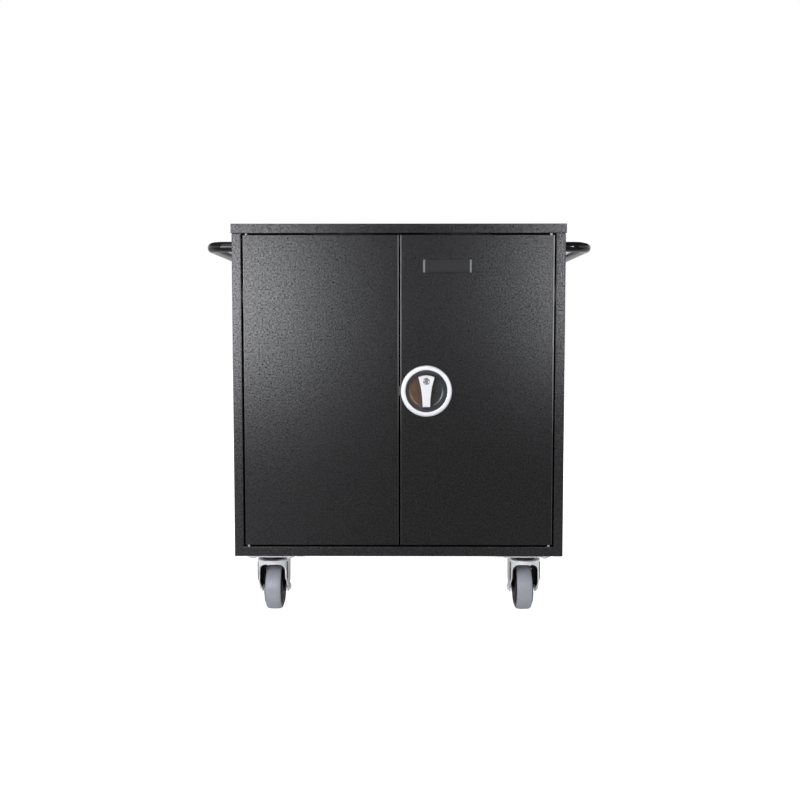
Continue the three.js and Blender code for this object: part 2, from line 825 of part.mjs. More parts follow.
// Rear door with vents
function rearDoor() {
  let pan = doorPan(-doorOuter, doorOuter, back, -1, pivots[2]);
  for (let row = 0; row < ventRows; row += 1) {
    const z = doorTop - ventDrop - row * ventPitch;
    for (const middle of [-ventX, ventX]) {
      pan = pan.subtract(block(
        middle - ventWidth / 2,
        middle + ventWidth / 2,
        back - 2 * sheet,
        back + sheet,
        z - ventHeight / 2,
        z + ventHeight / 2,
      ));
    }
  }
  return pan.subtract(bar(
    'y', rearLockBody + slip, back - 2 * sheet, back + sheet, rearLockX, 0, lockZ, 20,
  ));
}
add('rear_door', rearDoor(), 'coat');

// Key lock and cam of the rear door; the cam hangs down, clear of the post
const camBack = back - postReturn - camGap;
const camFront = camBack - camThick;

function rearLock() {
  const outer = back + lockProud;
  const keyway = block(
    rearLockX - keywayWidth / 2,
    rearLockX + keywayWidth / 2,
    outer - keywayDepth,
    outer + 1,
    lockZ - keywayLength / 2,
    lockZ + keywayLength / 2,
  );
  return bar('y', rearLockBody, camBack + seat, back + sheet, rearLockX, 0, lockZ, 20)
    .add(bar('y', rearLockRadius, back + seat, outer, rearLockX, 0, lockZ, 20))
    .subtract(keyway);
}
add('rear_lock', rearLock(), 'chrome');

function lockCam() {
  const outline = [
    ...arc(rearLockX, lockZ, camRadius, 0, 180, 6),
    ...arc(rearLockX, lockZ - camLength + camRadius, camRadius, 180, 360, 6),
  ];
  return prismY(outline, camFront, camBack);
}
add('rear_lock_cam', lockCam(), 'zinc');

// Castors, each about its own swivel axis
function castorPlate() {
  const top = castorHeight - seat;
  const under = top - castorPlateThick;
  const [halfX, halfY] = [castorPlateX / 2, castorPlateY / 2];
  const race = [
    [0, archTop - slip - nutThick],
    [kingpinHead, archTop - slip - nutThick],
    [kingpinHead, archTop - slip],
    [kingpinRadius, archTop - slip],
    [kingpinRadius, crownTop + slip],
    [raceCore, crownTop + slip],
    [raceCore, under - raceHeight],
    [raceRadius, under - raceHeight],
    [raceTopRadius, under],
    [raceTopRadius, under + 1],
    [0, under + 1],
  ];
  let plate = block(-halfX, halfX, -halfY, halfY, under, top).add(turned('z', race, raceSides));
  for (const x of [-castorBoltX / 2, castorBoltX / 2]) {
    for (const y of [-castorBoltY / 2, castorBoltY / 2]) {
      plate = plate.add(bar('z', nutRadius, under - castorBoltHead, under + 1, x, y, 0, 6));
    }
  }
  return plate;
}

function castorFork() {
  const foot = axleZ - forkBoss;
  const shoulder = crownTop - forkShoulder;
  const inner = forkHalfWidth - forkWall;
  const quarter = [
    [forkAxleHalfWidth - forkWall, foot],
    [inner, shoulder],
    ...arc(inner - forkCorner, archTop - forkCorner, forkCorner, 0, 90, 3),
  ];
  const outside = [
    [forkHalfWidth - forkWall, crownTop],
    [forkHalfWidth, crownTop - forkWall],
    [forkHalfWidth, shoulder],
    [forkAxleHalfWidth, foot],
  ];
  const half = [...outside, ...quarter];
  const arch = [...half, ...half.toReversed().map(([x, z]) => [-x, z])];
  const side = [
    [-forkHalfWidth, crownTop],
    [forkHalfWidth, crownTop],
    [trail + forkBoss, axleZ + 2 * forkBoss],
    ...arc(trail, axleZ, forkBoss, 0, -180, 4),
    ...[forkSweep, forkKnee].map(([y, rise]) => [y, axleZ + rise]),
    [-forkHalfWidth, archTop - forkCorner],
  ];
  const plan = [
    ...arc(0, 0, forkHalfWidth, 180, 360, 8),
    [forkHalfWidth, trail + forkBoss],
    [-forkHalfWidth, trail + forkBoss],
  ];
  return prismY(arch, -forkHalfWidth, trail + forkBoss)
    .intersect(prismX(side, -forkHalfWidth, forkHalfWidth))
    .intersect(prismZ(plan, foot, crownTop))
    .subtract(bar('x', axleRadius + seat, -forkHalfWidth, forkHalfWidth, 0, trail, axleZ, 12))
    .subtract(bar('z', kingpinRadius + slip, archTop - 1, crownTop + 1, 0, 0, 0, 16));
}

function axleBolt() {
  const rise = (forkHalfWidth - forkAxleHalfWidth) / (crownTop - forkShoulder - axleZ + forkBoss);
  const face = forkAxleHalfWidth + (forkBoss + nutRadius) * rise + seat;
  let bolt = bar('x', axleRadius, -face, face, 0, trail, axleZ, 12);
  for (const side of [-1, 1]) {
    bolt = bolt.add(bar('x', nutRadius, side * face, side * (face + nutThick), 0, trail, axleZ, 6));
  }
  return bolt;
}

const hubRadius = wheelRadius - tyreThick;

function wheelHub() {
  const disc = tyreHalfWidth + seat;
  const half = [
    [hubRadius - seat, disc],
    [discRadius, disc],
    [discRadius, disc + discThick],
    [hubBoss, hubHalfWidth - discThick],
    [hubBoss, hubHalfWidth],
    [axleRadius + slip, hubHalfWidth],
  ];
  const profile = [...half.toReversed().map(([radius, x]) => [radius, -x]), ...half];
  return turned('x', profile, hubSides).translate([0, trail, axleZ]);
}

// The tread's flats touch the floor, so its corners stand out a little further
function tyre() {
  const corner = wheelRadius / Math.cos(Math.PI / tyreSides);
  const half = [
    [corner, tyreHalfWidth / 2],
    [corner - tyreThick / 3, tyreHalfWidth - 0.5],
    [corner - tyreThick * 2 / 3, tyreHalfWidth],
    [hubRadius, tyreHalfWidth - 2],
  ];
  const profile = [...half.toReversed().map(([radius, x]) => [radius, -x]), ...half];
  return turned('x', profile, tyreSides).translate([0, trail, axleZ]);
}

for (const [end, y] of [['front', front + castorInset], ['rear', back - castorInset]]) {
  for (const [side, x] of [['left', -castorX], ['right', castorX]]) {
    const castor = new THREE.Group();
    castor.position.set(x, y, 0);
    cart.add(castor);
    const corner = `${end}_${side}`;
    add(`${corner}_castor_plate`, castorPlate(), 'zinc', castor);
    add(`${corner}_castor_fork`, castorFork(), 'zinc', castor);
    add(`${corner}_axle_bolt`, axleBolt(), 'zinc', castor);
    add(`${corner}_wheel_hub`, wheelHub(), 'plastic', castor);
    add(`${corner}_tyre`, tyre(), 'tread', castor);
  }
}

// The origin is under the middle of the whole cart, with its wheels trailing to the rear
const foremost = front - lockProud;
const rearmost = Math.max(back + lockProud, back - castorInset + trail + wheelRadius);
cart.position.y = -(foremost + rearmost) / 2;

export default cart;
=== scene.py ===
"""Laptop charging cart: the finished surfaces of its sheet steel, lock, racks and castors."""

import json
from math import cos, pi, radians, sin, sqrt

import bmesh
import bpy
from mathutils import Matrix, Vector


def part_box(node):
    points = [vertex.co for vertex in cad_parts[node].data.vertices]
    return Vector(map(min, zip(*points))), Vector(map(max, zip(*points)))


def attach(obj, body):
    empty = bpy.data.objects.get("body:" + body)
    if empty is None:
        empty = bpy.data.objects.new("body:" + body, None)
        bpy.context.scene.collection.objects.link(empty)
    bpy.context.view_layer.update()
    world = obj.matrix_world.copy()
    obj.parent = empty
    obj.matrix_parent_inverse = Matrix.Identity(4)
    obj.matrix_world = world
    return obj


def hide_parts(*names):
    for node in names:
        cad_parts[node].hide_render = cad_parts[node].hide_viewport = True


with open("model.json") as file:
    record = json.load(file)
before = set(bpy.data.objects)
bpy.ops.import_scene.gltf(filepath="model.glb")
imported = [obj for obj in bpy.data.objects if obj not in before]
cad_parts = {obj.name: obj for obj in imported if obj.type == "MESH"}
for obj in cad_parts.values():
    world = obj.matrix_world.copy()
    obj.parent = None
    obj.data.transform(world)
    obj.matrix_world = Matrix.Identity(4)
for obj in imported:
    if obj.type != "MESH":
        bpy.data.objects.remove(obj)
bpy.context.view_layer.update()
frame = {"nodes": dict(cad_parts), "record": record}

body_of = {node: body for body, nodes in frame["record"]["behaviour"]["bodies"].items() for node in nodes}
AXIS = {"x": Vector((1, 0, 0)), "y": Vector((0, 1, 0)), "z": Vector((0, 0, 1))}


def span(node):
    """The box of a CAD node in millimetres: x0, x1, y0, y1, z0, z1."""
    return [1000 * edge for pair in zip(*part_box(node)) for edge in pair]


def centre_of(node):
    low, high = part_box(node)
    return (low + high) * 500


# Sizes in millimetres
lock, rear_lock = centre_of("lock_rosette"), centre_of("rear_lock")
sheet = 1.5
bend = 1.6            # outer radius of a fold in the sheet
crisp = 0.6           # the same on the doors and the lid
lip = 27              # depth of a side panel's inner return
slack = 0.3           # around a piece that slides through a sheet
keeper_slack = 1.5    # around a bolt in the hole that holds it
ledge = 34            # width of the inner edge of the base tray and of the lid
meeting_trim = 1.2    # taken off the left door's meeting edge, which keeps the gap between the doors dark
seam = 2              # shadow gap between the side panels and the lid


# Shader nodes

class Value:
    """A shader socket: sums and products of it add Math nodes to its tree."""

    def __init__(self, nodes, socket):
        self.nodes, self.socket = nodes, socket

    def math(self, operation, a, b):
        return self.nodes.add("ShaderNodeMath", {"operation": operation}, {0: a, 1: b})

    def __add__(self, other):
        return self.math("ADD", self, other)

    def __sub__(self, other):
        return self.math("SUBTRACT", self, other)

    def __rsub__(self, other):
        return self.math("SUBTRACT", other, self)

    def __mul__(self, other):
        return self.math("MULTIPLY", self, other)

    def __lt__(self, other):
        return self.math("LESS_THAN", self, other)

    __radd__, __rmul__ = __add__, __mul__

    def out(self, name):
        return Value(self.nodes, self.socket.node.outputs[name])


class Nodes:
    """A node tree that is filled by code."""

    def __init__(self, tree):
        self.tree = tree

    def add(self, kind, settings=None, sockets=None, out=0):
        node = self.tree.nodes.new(kind)
        for name, setting in (settings or {}).items():
            setattr(node, name, setting)
        for name, given in (sockets or {}).items():
            self.feed(node.inputs[name], given)
        return Value(self, node.outputs[out])

    def feed(self, socket, given):
        if isinstance(given, Value):
            self.tree.links.new(given.socket, socket)
        else:
            socket.default_value = given


class Finish(Nodes):
    """A surface finish, for one of the record's material slots."""

    def __init__(self, slot, name=None):
        self.slot = slot
        self.material = bpy.data.materials.new(name or slot)
        self.material.use_nodes = True
        super().__init__(self.material.node_tree)
        self.surface = self.tree.nodes["Principled BSDF"]
        self.place = self.add("ShaderNodeTexCoord", out="Object")

    def give(self, **sockets):
        for name, given in sockets.items():
            self.feed(self.surface.inputs[name.replace("_", " ")], given)

    def noise(self, size, detail=2.0, stretch=(1, 1, 1), roughness=0.5):
        """Noise with grains of about this size in metres."""
        where = self.add("ShaderNodeMapping", {}, {"Vector": self.place, "Scale": stretch})
        return self.add("ShaderNodeTexNoise", {}, {
            "Vector": where, "Scale": 1 / size, "Detail": detail, "Roughness": roughness})

    def along(self, axis):
        """Place along an axis, in metres."""
        return self.add("ShaderNodeSeparateXYZ", {}, {0: self.place}, axis)

    def mix(self, share, first, second):
        return self.add("ShaderNodeMix", {"data_type": "RGBA"}, {
            0: share, 6: (*first, 1) if isinstance(first, tuple) else first,
            7: (*second, 1) if isinstance(second, tuple) else second}, 2)

    def bump(self, height, strength, distance):
        return self.add("ShaderNodeBump", {}, {
            "Height": height, "Strength": strength, "Distance": distance})

    def radius(self, centre, axis):
        """Distance in metres from a line along an axis, through a centre in millimetres."""
        keep = [0.0 if name == axis else 1.0 for name in "xyz"]
        moved = self.add("ShaderNodeVectorMath", {"operation": "SUBTRACT"}, {
            0: self.place, 1: [c / 1000 for c in centre]})
        flat = self.add("ShaderNodeVectorMath", {"operation": "MULTIPLY"}, {0: moved, 1: keep})
        return self.add("ShaderNodeVectorMath", {"operation": "LENGTH"}, {0: flat}, "Value")


def door_span(node):
    """The box of a door, with the left one trimmed."""
    x0, x1, y0, y1, z0, z1 = span(node)
    return x0, x1 - (meeting_trim if node == "left_door" else 0), y0, y1, z0, z1


def powder_coat(name=None, light=0.0165, door=None, left=0.0, right=0.0, worktop=9.0):
    """The black coat. On a door a painted highlight pales it along the two upright folds, most of all high up.

    Above the height worktop, in metres, it is matt. The default is above the whole cart.
    """
    highlight_band = 0.0015
    coat = Finish("powder_coat", name)
    grain = coat.noise(0.002, 2.0, roughness=0.6)
    pebble = coat.noise(0.0036, 1.0)
    speck = coat.add("ShaderNodeMapRange", {}, {
        "Value": coat.noise(0.0037, 2.0), "From Min": 0.34, "From Max": 0.66, "To Min": 0.1, "To Max": 0.9})
    cloud = coat.noise(0.11, 3.0)
    colour = coat.mix(pebble * 0.7 + grain * 0.3, (0.001, 0.001, 0.001), (light, light, light * 1.03))
    # Painted highlight: along each upright fold of a door the colour is made pale, most of all high up, for the
    # light the folds catch
    if door:
        x0, x1, y0 = (edge / 1000 for edge in door_span(door)[:3])
        x, fold = coat.along("X"), coat.along("Y") < y0 + 0.0005
        high = coat.add("ShaderNodeMapRange", {}, {
            "Value": coat.along("Z"), "From Min": 0.4, "From Max": 0.6, "To Min": 0.12, "To Max": 1.0})
        colour = coat.mix((x < x0 + highlight_band) * fold * high, colour, (left,) * 3)
        colour = coat.mix((1 - (x < x1 - highlight_band)) * fold * high, colour, (right,) * 3)
    shiny = coat.along("Z") < worktop
    coat.give(
        Base_Color=colour,
        Roughness=0.62 - shiny * 0.43 + grain * 0.06 + cloud * 0.03,
        Specular_IOR_Level=0.3,
        Coat_Weight=speck * shiny,
        Coat_Roughness=0.26,
        Normal=coat.bump(grain * 0.3 + pebble * 0.7, 0.6, 0.001),
    )
    return coat


def name_plate_coat():
    plate = Finish("powder_coat", "name_plate_coat")
    # Painted highlight: the two end bars are painted pale grey, for the light caught by the plate's ends
    painted_highlight = plate.add("ShaderNodeAttribute", {"attribute_name": "painted_highlight"}, out="Fac")
    grain = plate.noise(0.0022, 3.0)
    plate.give(
        Base_Color=plate.mix(painted_highlight, plate.mix(grain, (0.002, 0.002, 0.002), (0.012, 0.012, 0.0125)),
                             plate.mix(grain, (0.15, 0.15, 0.15), (0.24, 0.24, 0.24))),
        Roughness=0.3 + grain * 0.1,
        Normal=plate.bump(grain, 0.3, 0.0005),
    )
    return plate


def gloss_tube():
    tube = Finish("gloss_tube")
    peel = tube.noise(0.006, 1.0)
    haze = tube.noise(0.05, 2.0)
    tube.give(
        Base_Color=tube.mix(haze, (0.006, 0.006, 0.007), (0.012, 0.012, 0.013)),
        Roughness=0.07 + haze * 0.05,
        Normal=tube.bump(peel, 0.08, 0.0006),
    )
    return tube


def zinc_plate():
    zinc = Finish("zinc_plate")
    drawn = zinc.noise(0.004, 3.0, (1, 1, 0.15))
    cloud = zinc.noise(0.03, 3.0)
    # Painted shade: where the attribute is set the zinc is painted near black and not metallic, for the shade
    # in the castor's bearing gap and inside its fork
    painted_shade = zinc.add("ShaderNodeAttribute", {"attribute_name": "painted_shade"}, out="Fac")
    zinc.give(
        Base_Color=zinc.mix(painted_shade, zinc.mix(cloud, (0.86, 0.87, 0.89), (0.93, 0.93, 0.94)),
                            (0.004, 0.004, 0.004)),
        Metallic=0.3 * (1 - painted_shade),
        Roughness=0.24 + drawn * 0.16,
        Normal=zinc.bump(drawn, 0.06, 0.0003),
    )
    return zinc


def satin_zinc():
    satin = Finish("satin_zinc")
    reach = satin.radius(lock, "y")
    polished, floor = reach < 0.0451, reach < 0.0373
    # Painted reflection: the polished bowl is given dark colours for what it mirrors, brown on the left of its
    # wall fading to dark on the right, blue grey on its floor
    painted_reflection = satin.add("ShaderNodeMapRange", {}, {
        "Value": satin.along("X"), "From Min": lock.x / 1000 - 0.028, "From Max": lock.x / 1000 + 0.016,
        "To Min": 1.0, "To Max": 0.0})
    blast = satin.noise(0.0012, 3.0)
    cloud = satin.noise(0.02, 2.0)
    ring = satin.mix(cloud, (0.86, 0.87, 0.88), (0.93, 0.93, 0.94))
    bowl = satin.mix(floor, (0.2, 0.215, 0.245), satin.mix(painted_reflection, (0.075, 0.075, 0.075), (0.21, 0.135, 0.09)))
    satin.give(
        Base_Color=satin.mix(polished, ring, bowl),
        Metallic=0.35 + polished * 0.45,
        Roughness=(0.3 + blast * 0.16) * (1 - polished) + polished * (0.24 + cloud * 0.1),
        Normal=satin.bump(blast, 0.05, 0.0002),
    )
    return satin


def satin_grip():
    grip = Finish("satin_zinc", "satin_grip")
    blast = grip.noise(0.0012, 3.0)
    cloud = grip.noise(0.02, 2.0)
    grip.give(
        Base_Color=grip.mix(cloud, (0.82, 0.82, 0.85), (0.9, 0.9, 0.92)),
        Metallic=0.35,
        Roughness=0.3 + blast * 0.16,
        Normal=grip.bump(blast, 0.05, 0.0002),
    )
    return grip


def chrome_plate():
    chrome = Finish("chrome_plate")
    haze = chrome.noise(0.004, 3.0)
    chrome.give(
        Base_Color=chrome.mix(haze, (0.6, 0.6, 0.61), (0.72, 0.72, 0.73)),
        Metallic=0.8,
        Roughness=0.1 + haze * 0.12,
    )
    return chrome


def pin_steel():
    steel = Finish("pin_steel")
    turned = steel.noise(0.0012, 2.0, (1, 1, 4))
    haze = steel.noise(0.012, 2.0)
    steel.give(
        Base_Color=steel.mix(haze, (0.68, 0.68, 0.69), (0.8, 0.8, 0.81)),
        Metallic=0.5,
        Roughness=0.28 + turned * 0.2,
        Normal=steel.bump(turned, 0.08, 0.0002),
    )
    return steel


def nylon():
    bush = Finish("nylon")
    haze = bush.noise(0.003, 3.0)
    bush.give(
        Base_Color=bush.mix(haze, (0.72, 0.72, 0.69), (0.82, 0.82, 0.8)),
        Roughness=0.4 + haze * 0.15,
        Normal=bush.bump(haze, 0.08, 0.0002),
    )
    return bush


def moulded_plastic(slot, dark, light):
    plastic = Finish(slot)
    stipple = plastic.noise(0.0011, 2.0)
    haze = plastic.noise(0.03, 3.0)
    plastic.give(
        Base_Color=plastic.mix(haze, dark, light),
        Roughness=0.36 + haze * 0.16,
        Normal=plastic.bump(stipple, 0.15, 0.0003),
    )
    return plastic


def tread_rubber():
    rubber = Finish("tread_rubber")
    mottle = rubber.noise(0.008, 3.0)
    fine = rubber.noise(0.0014, 2.0)
    # Painted shade: the tyre's side walls are painted near black, for the shade on the wheel's side
    wall = rubber.add("ShaderNodeAttribute", {"attribute_name": "wall"}, out="Fac")
    tread = rubber.mix(mottle, (0.31, 0.32, 0.355), (0.37, 0.385, 0.42))
    rubber.give(
        Base_Color=rubber.mix(wall, tread, (0.006, 0.006, 0.006)),
        Roughness=0.3 + fine * 0.12,
        Normal=rubber.bump(fine, 0.12, 0.0003),
    )
    return rubber


coat, tube, zinc, satin, grip = powder_coat(), gloss_tube(), zinc_plate(), satin_zinc(), satin_grip()
chrome, steel, bush_nylon, rubber = chrome_plate(), pin_steel(), nylon(), tread_rubber()
strip_plastic = moulded_plastic("strip_plastic", (0.014, 0.014, 0.015), (0.024, 0.024, 0.025))
rocker_plastic = moulded_plastic("rocker_plastic", (0.3, 0.018, 0.014), (0.4, 0.03, 0.022))
# The frame's coat is the same black coat painted lighter: painted light, for the brighter light on the posts
# and base rail
plate_coat, lit_frame_coat = name_plate_coat(), powder_coat("lit_frame_coat", 0.03)
hub_plastic = moulded_plastic("hub_plastic", (0.003, 0.003, 0.003), (0.007, 0.007, 0.007))


# Shapes, in millimetres

def block(bm, x0, x1, y0, y1, z0, z1):
    middle = Vector((x0 + x1, y0 + y1, z0 + z1)) / 2
    size = Vector((x1 - x0, y1 - y0, z1 - z0))
    return bmesh.ops.create_cube(bm, size=1, matrix=Matrix.LocRotScale(middle, None, size))["verts"]


def creases(bm, least=30):
    """The edges at which two faces meet at an angle."""
    bm.normal_update()
    return [e for e in bm.edges if e.is_manifold and e.calc_face_angle() > radians(least)]


def ease(bm, edges, radius, segments=3):
    bmesh.ops.bevel(bm, geom=edges, offset=radius, affect="EDGES", segments=segments, profile=0.5,
                    material=-1, clamp_overlap=True)


def sweep(bm, edges, run):
    """Draws edges out along a straight run, and gives the edges at its end."""
    made = bmesh.ops.extrude_edge_only(bm, edges=edges)["geom"]
    bmesh.ops.translate(bm, vec=run, verts=[g for g in made if isinstance(g, bmesh.types.BMVert)])
    return [g for g in made if isinstance(g, bmesh.types.BMEdge)]


def path(bm, points, closed=False):
    verts = [bm.verts.new(point) for point in points]
    pairs = list(zip(verts, verts[1:])) + ([(verts[-1], verts[0])] if closed else [])
    return [bm.edges.new(pair) for pair in pairs]


def inside(point, low, high):
    return all(a - 1e-3 <= p <= b + 1e-3 for p, a, b in zip(point, low, high))


def window(bm, x0, x1, y0, y1, z0, z1):
    """Cuts the walls that cross a box, and takes out what lies in it."""
    low, high = (x0, y0, z0), (x1, y1, z1)
    for axis in range(3):
        normal = Vector([axis == i for i in range(3)])
        for cut in (low[axis], high[axis]):
            crossed = [f for f in bm.faces if all(
                min(v.co[i] for v in f.verts) < high[i] + 1e-3
                and max(v.co[i] for v in f.verts) > low[i] - 1e-3 for i in range(3))]
            near = {g for f in crossed for g in (f, *f.edges, *f.verts)}
            bmesh.ops.bisect_plane(bm, geom=list(near), dist=1e-4, plane_co=normal * cut, plane_no=normal)
    taken = [f for f in bm.faces if inside(f.calc_center_median(), low, high)]
    bmesh.ops.delete(bm, geom=taken, context="FACES")


def round_window(bm, centre, axis, radius, reach, sides=32):
    """Cuts a square of half size reach in a wall, and draws its rim in to a round hole."""
    middle = Vector(centre)
    low, high = ([c + way * (1 if name == axis else reach) for name, c in zip("xyz", centre)]
                 for way in (-1, 1))
    window(bm, *(edge for pair in zip(low, high) for edge in pair))

    def rim():
        return [e for e in bm.edges if e.is_boundary and all(inside(v.co, low, high) for v in e.verts)]

    bmesh.ops.subdivide_edges(bm, edges=rim(), cuts=sides // 4 - 1)
    for vert in {v for e in sweep(bm, rim(), (0, 0, 0)) for v in e.verts}:
        vert.co = middle + (vert.co - middle).normalized() * radius


def spun(bm, profile, axis, centre, steps=48, closed=True):
    """Turns a profile of (radius, height) points about an axis through a centre."""
    along = AXIS[axis]
    out = AXIS[{"x": "z", "y": "z", "z": "x"}[axis]]
    edges = path(bm, [Vector(centre) + out * r + along * h for r, h in profile], closed)
    verts = list({v for e in edges for v in e.verts})
    bmesh.ops.spin(bm, geom=verts + edges, cent=centre, axis=along, angle=2 * pi, steps=steps, use_merge=True)


def out_to(bm, way):
    """Points the faces out, with the largest one facing this way."""
    bmesh.ops.remove_doubles(bm, verts=bm.verts, dist=1e-3)
    bmesh.ops.recalc_face_normals(bm, faces=bm.faces)
    bm.normal_update()
    largest = max((f for f in bm.faces if abs(f.normal.dot(way)) > 0.9), key=lambda f: f.calc_area())
    if largest.normal.dot(way) < 0:
        bmesh.ops.reverse_faces(bm, faces=bm.faces)


def put(bm, node, finish, wall=0, rounding=0.35):
    """Makes the finished piece that stands for a CAD node."""
    if not wall:
        bmesh.ops.remove_doubles(bm, verts=bm.verts, dist=1e-3)
        bmesh.ops.recalc_face_normals(bm, faces=bm.faces)
    bmesh.ops.scale(bm, vec=(0.001,) * 3, verts=bm.verts)
    mesh = bpy.data.meshes.new(node + "_finished")
    bm.to_mesh(mesh)
    bm.free()
    mesh.shade_smooth()
    piece = bpy.data.objects.new(node + "_finished", mesh)
    bpy.context.scene.collection.objects.link(piece)
    if wall:
        thick = piece.modifiers.new("wall", "SOLIDIFY")
        thick.thickness, thick.offset, thick.use_even_offset = wall / 1000, -1, True
    if rounding:
        edge = piece.modifiers.new("edges", "BEVEL")
        edge.width, edge.segments, edge.angle_limit = rounding / 1000, 2, radians(40)
    even = piece.modifiers.new("even", "WEIGHTED_NORMAL")
    even.keep_sharp = True
    piece.data.materials.append(finish.material)
    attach(piece, body_of[node])
    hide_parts(node)


def eased(node, finish, radius=0.4):
    """A copy of a CAD node with its edges rounded."""
    bm = bmesh.new()
    bm.from_mesh(frame["nodes"][node].data)
    bmesh.ops.scale(bm, vec=(1000,) * 3, verts=bm.verts)
    bmesh.ops.remove_doubles(bm, verts=bm.verts, dist=1e-2)
    bmesh.ops.dissolve_limit(bm, angle_limit=radians(1), verts=bm.verts, edges=bm.edges)
    put(bm, node, finish, rounding=radius)


# Sheet steel cabinet

def side_panel(side):
    node = side + "_side_panel"
    x0, x1, y0, y1, z0, z1 = span(node)
    outer, inner = (x0, x1) if side == "left" else (x1, x0)
    bm = bmesh.new()
    turns = [(inner, y0 + lip), (inner, y0), (outer, y0), (outer, y1), (inner, y1), (inner, y1 - lip)]
    sweep(bm, path(bm, [(x, y, z0) for x, y in turns]), (0, 0, z1 - z0 - seam))
    ease(bm, creases(bm), bend, 4)
    set_back = outer - sheet if outer > 0 else outer + sheet
    strip = [(inner, y0 + lip), (inner, y0 + sheet), (set_back, y0 + sheet), (set_back, y1 - sheet),
             (inner, y1 - sheet), (inner, y1 - lip)]
    sweep(bm, path(bm, [(x, y, z1 - 3 * seam) for x, y in strip]), (0, 0, 3 * seam))
    if side == "right":
        y2, y3, z2, z3 = span("power_inlet")[2:]
        window(bm, outer - 1, outer + 1, y2 + 10.7, y3 - 10.7, z2 + 3.2, z3 - 3.2)
    out_to(bm, Vector((outer, 0, 0)).normalized())
    put(bm, node, lit_frame_coat, sheet)


def rod_window(bm, rod, z):
    """The hole at this height that a lock rod enters."""
    x0, x1, y0, y1 = span(rod)[:4]
    window(bm, x0 - keeper_slack, x1 + keeper_slack, y0 - keeper_slack, y1 + keeper_slack, z - 1, z + 1)


def base_tray():
    x0, x1, y0, y1, z0, z1 = span("base_tray")
    back_of_lip, end = y1 - lip - slack, span("right_side_panel")[0] + bend
    bm = bmesh.new()
    turns = [(y0 + ledge, z1), (y0, z1), (y0, z0), (y1, z0), (y1, z1), (y1 - ledge, z1)]
    sweep(bm, path(bm, [(-end, y, z) for y, z in turns]), (2 * end, 0, 0))
    middle = (y0 + y1) / 2
    reach = back_of_lip - middle
    for cut in (middle - reach, middle + reach):
        floor = [f for f in bm.faces if abs(f.calc_center_median().z - z0) < 0.1]
        near = {g for f in floor for g in (f, *f.edges, *f.verts)}
        bmesh.ops.bisect_plane(bm, geom=list(near), plane_co=(0, cut, 0), plane_no=(0, 1, 0))
    for side in (-1, 1):
        rim = [e for e in bm.edges if e.is_boundary and all(
            abs(v.co.x - side * end) < 0.1 and abs(v.co.z - z0) < 0.1 and abs(v.co.y - middle) < reach + 0.1
            for v in e.verts)]
        rim = sweep(bm, rim, (side * (x1 - end), 0, 0))
        sweep(bm, rim, (0, 0, z1 - z0))
    ease(bm, creases(bm), bend, 4)
    rod_window(bm, "lower_lock_rod", z1)
    out_to(bm, -AXIS["z"])
    put(bm, "base_tray", lit_frame_coat, sheet)


def top_lid():
    x0, x1, y0, y1, z0, z1 = span("top_lid")
    bm = bmesh.new()
    block(bm, x0, x1, y0, y1, z0, z1)
    under = [f for f in bm.faces if f.calc_center_median().z < z0 + 0.1]
    bmesh.ops.inset_region(bm, faces=under, thickness=ledge, use_even_offset=True)
    bmesh.ops.delete(bm, geom=under, context="FACES")
    ease(bm, creases(bm), crisp, 3)
    rod_window(bm, "upper_lock_rod", z0)
    out_to(bm, AXIS["z"])
    put(bm, "top_lid", powder_coat("lid_coat", worktop=z1 / 1000 - 0.0005), sheet)


def middle_shelf():
    x0, x1, y0, y1, z0, z1 = span("middle_shelf")
    bm = bmesh.new()
    block(bm, x0, x1, y0, y1, z0, z1)
    bmesh.ops.delete(bm, geom=[f for f in bm.faces if f.calc_center_median().z < z0 + 0.1], context="FACES")
    ease(bm, creases(bm), bend, 4)
    out_to(bm, AXIS["z"])
    put(bm, "middle_shelf", coat, sheet)


def push_handle(side):
    node, way = side + "_push_handle", -1 if side == "left" else 1
    x0, x1, y0, y1, z0, z1 = span(node)
    radius, turn, flange = 11.5, 33, 2.2
    z = (z0 + z1) / 2
    inner, outer = (x1, x0) if way < 0 else (x0, x1)
    axis_x = outer - way * (radius + turn)
    front_leg, back_leg = y0 + radius, y1 - radius
    bm = bmesh.new()
    foot = bmesh.ops.create_circle(
        bm, cap_ends=True, segments=32, radius=radius + flange,
        matrix=Matrix.Translation((inner, front_leg, z)) @ Matrix.Rotation(pi / 2, 4, "Y"))["verts"]
    ring = list({e for v in foot for e in v.link_edges})

    def shrink(edges, at, scale):
        verts = list({v for e in edges for v in e.verts})
        bmesh.ops.scale(bm, vec=(1, scale, scale), verts=verts, space=Matrix.Translation(-Vector(at)))

    def spin(edges, y):
        last = bmesh.ops.spin(bm, geom=edges, cent=(axis_x, y, z), axis=(0, 0, 1), angle=way * pi / 2, steps=10)
        return [g for g in last["geom_last"] if isinstance(g, bmesh.types.BMEdge)]

    weld = radius / (radius + flange)
    ring = sweep(bm, ring, (way * 0.8, 0, 0))
    ring = sweep(bm, ring, (way * 1.6, 0, 0))
    shrink(ring, (0, front_leg, z), weld)
    ring = sweep(bm, ring, (axis_x - inner - way * 2.4, 0, 0))
    ring = spin(ring, front_leg + turn)
    ring = sweep(bm, ring, (0, back_leg - front_leg - 2 * turn, 0))
    ring = spin(ring, back_leg - turn)
    ring = sweep(bm, ring, (inner + way * 2.4 - axis_x, 0, 0))
    ring = sweep(bm, ring, (-way * 1.6, 0, 0))
    shrink(ring, (0, back_leg, z), 1 / weld)
    ring = sweep(bm, ring, (-way * 0.8, 0, 0))
    bmesh.ops.contextual_create(bm, geom=ring)
    put(bm, node, tube, rounding=0)


# Doors

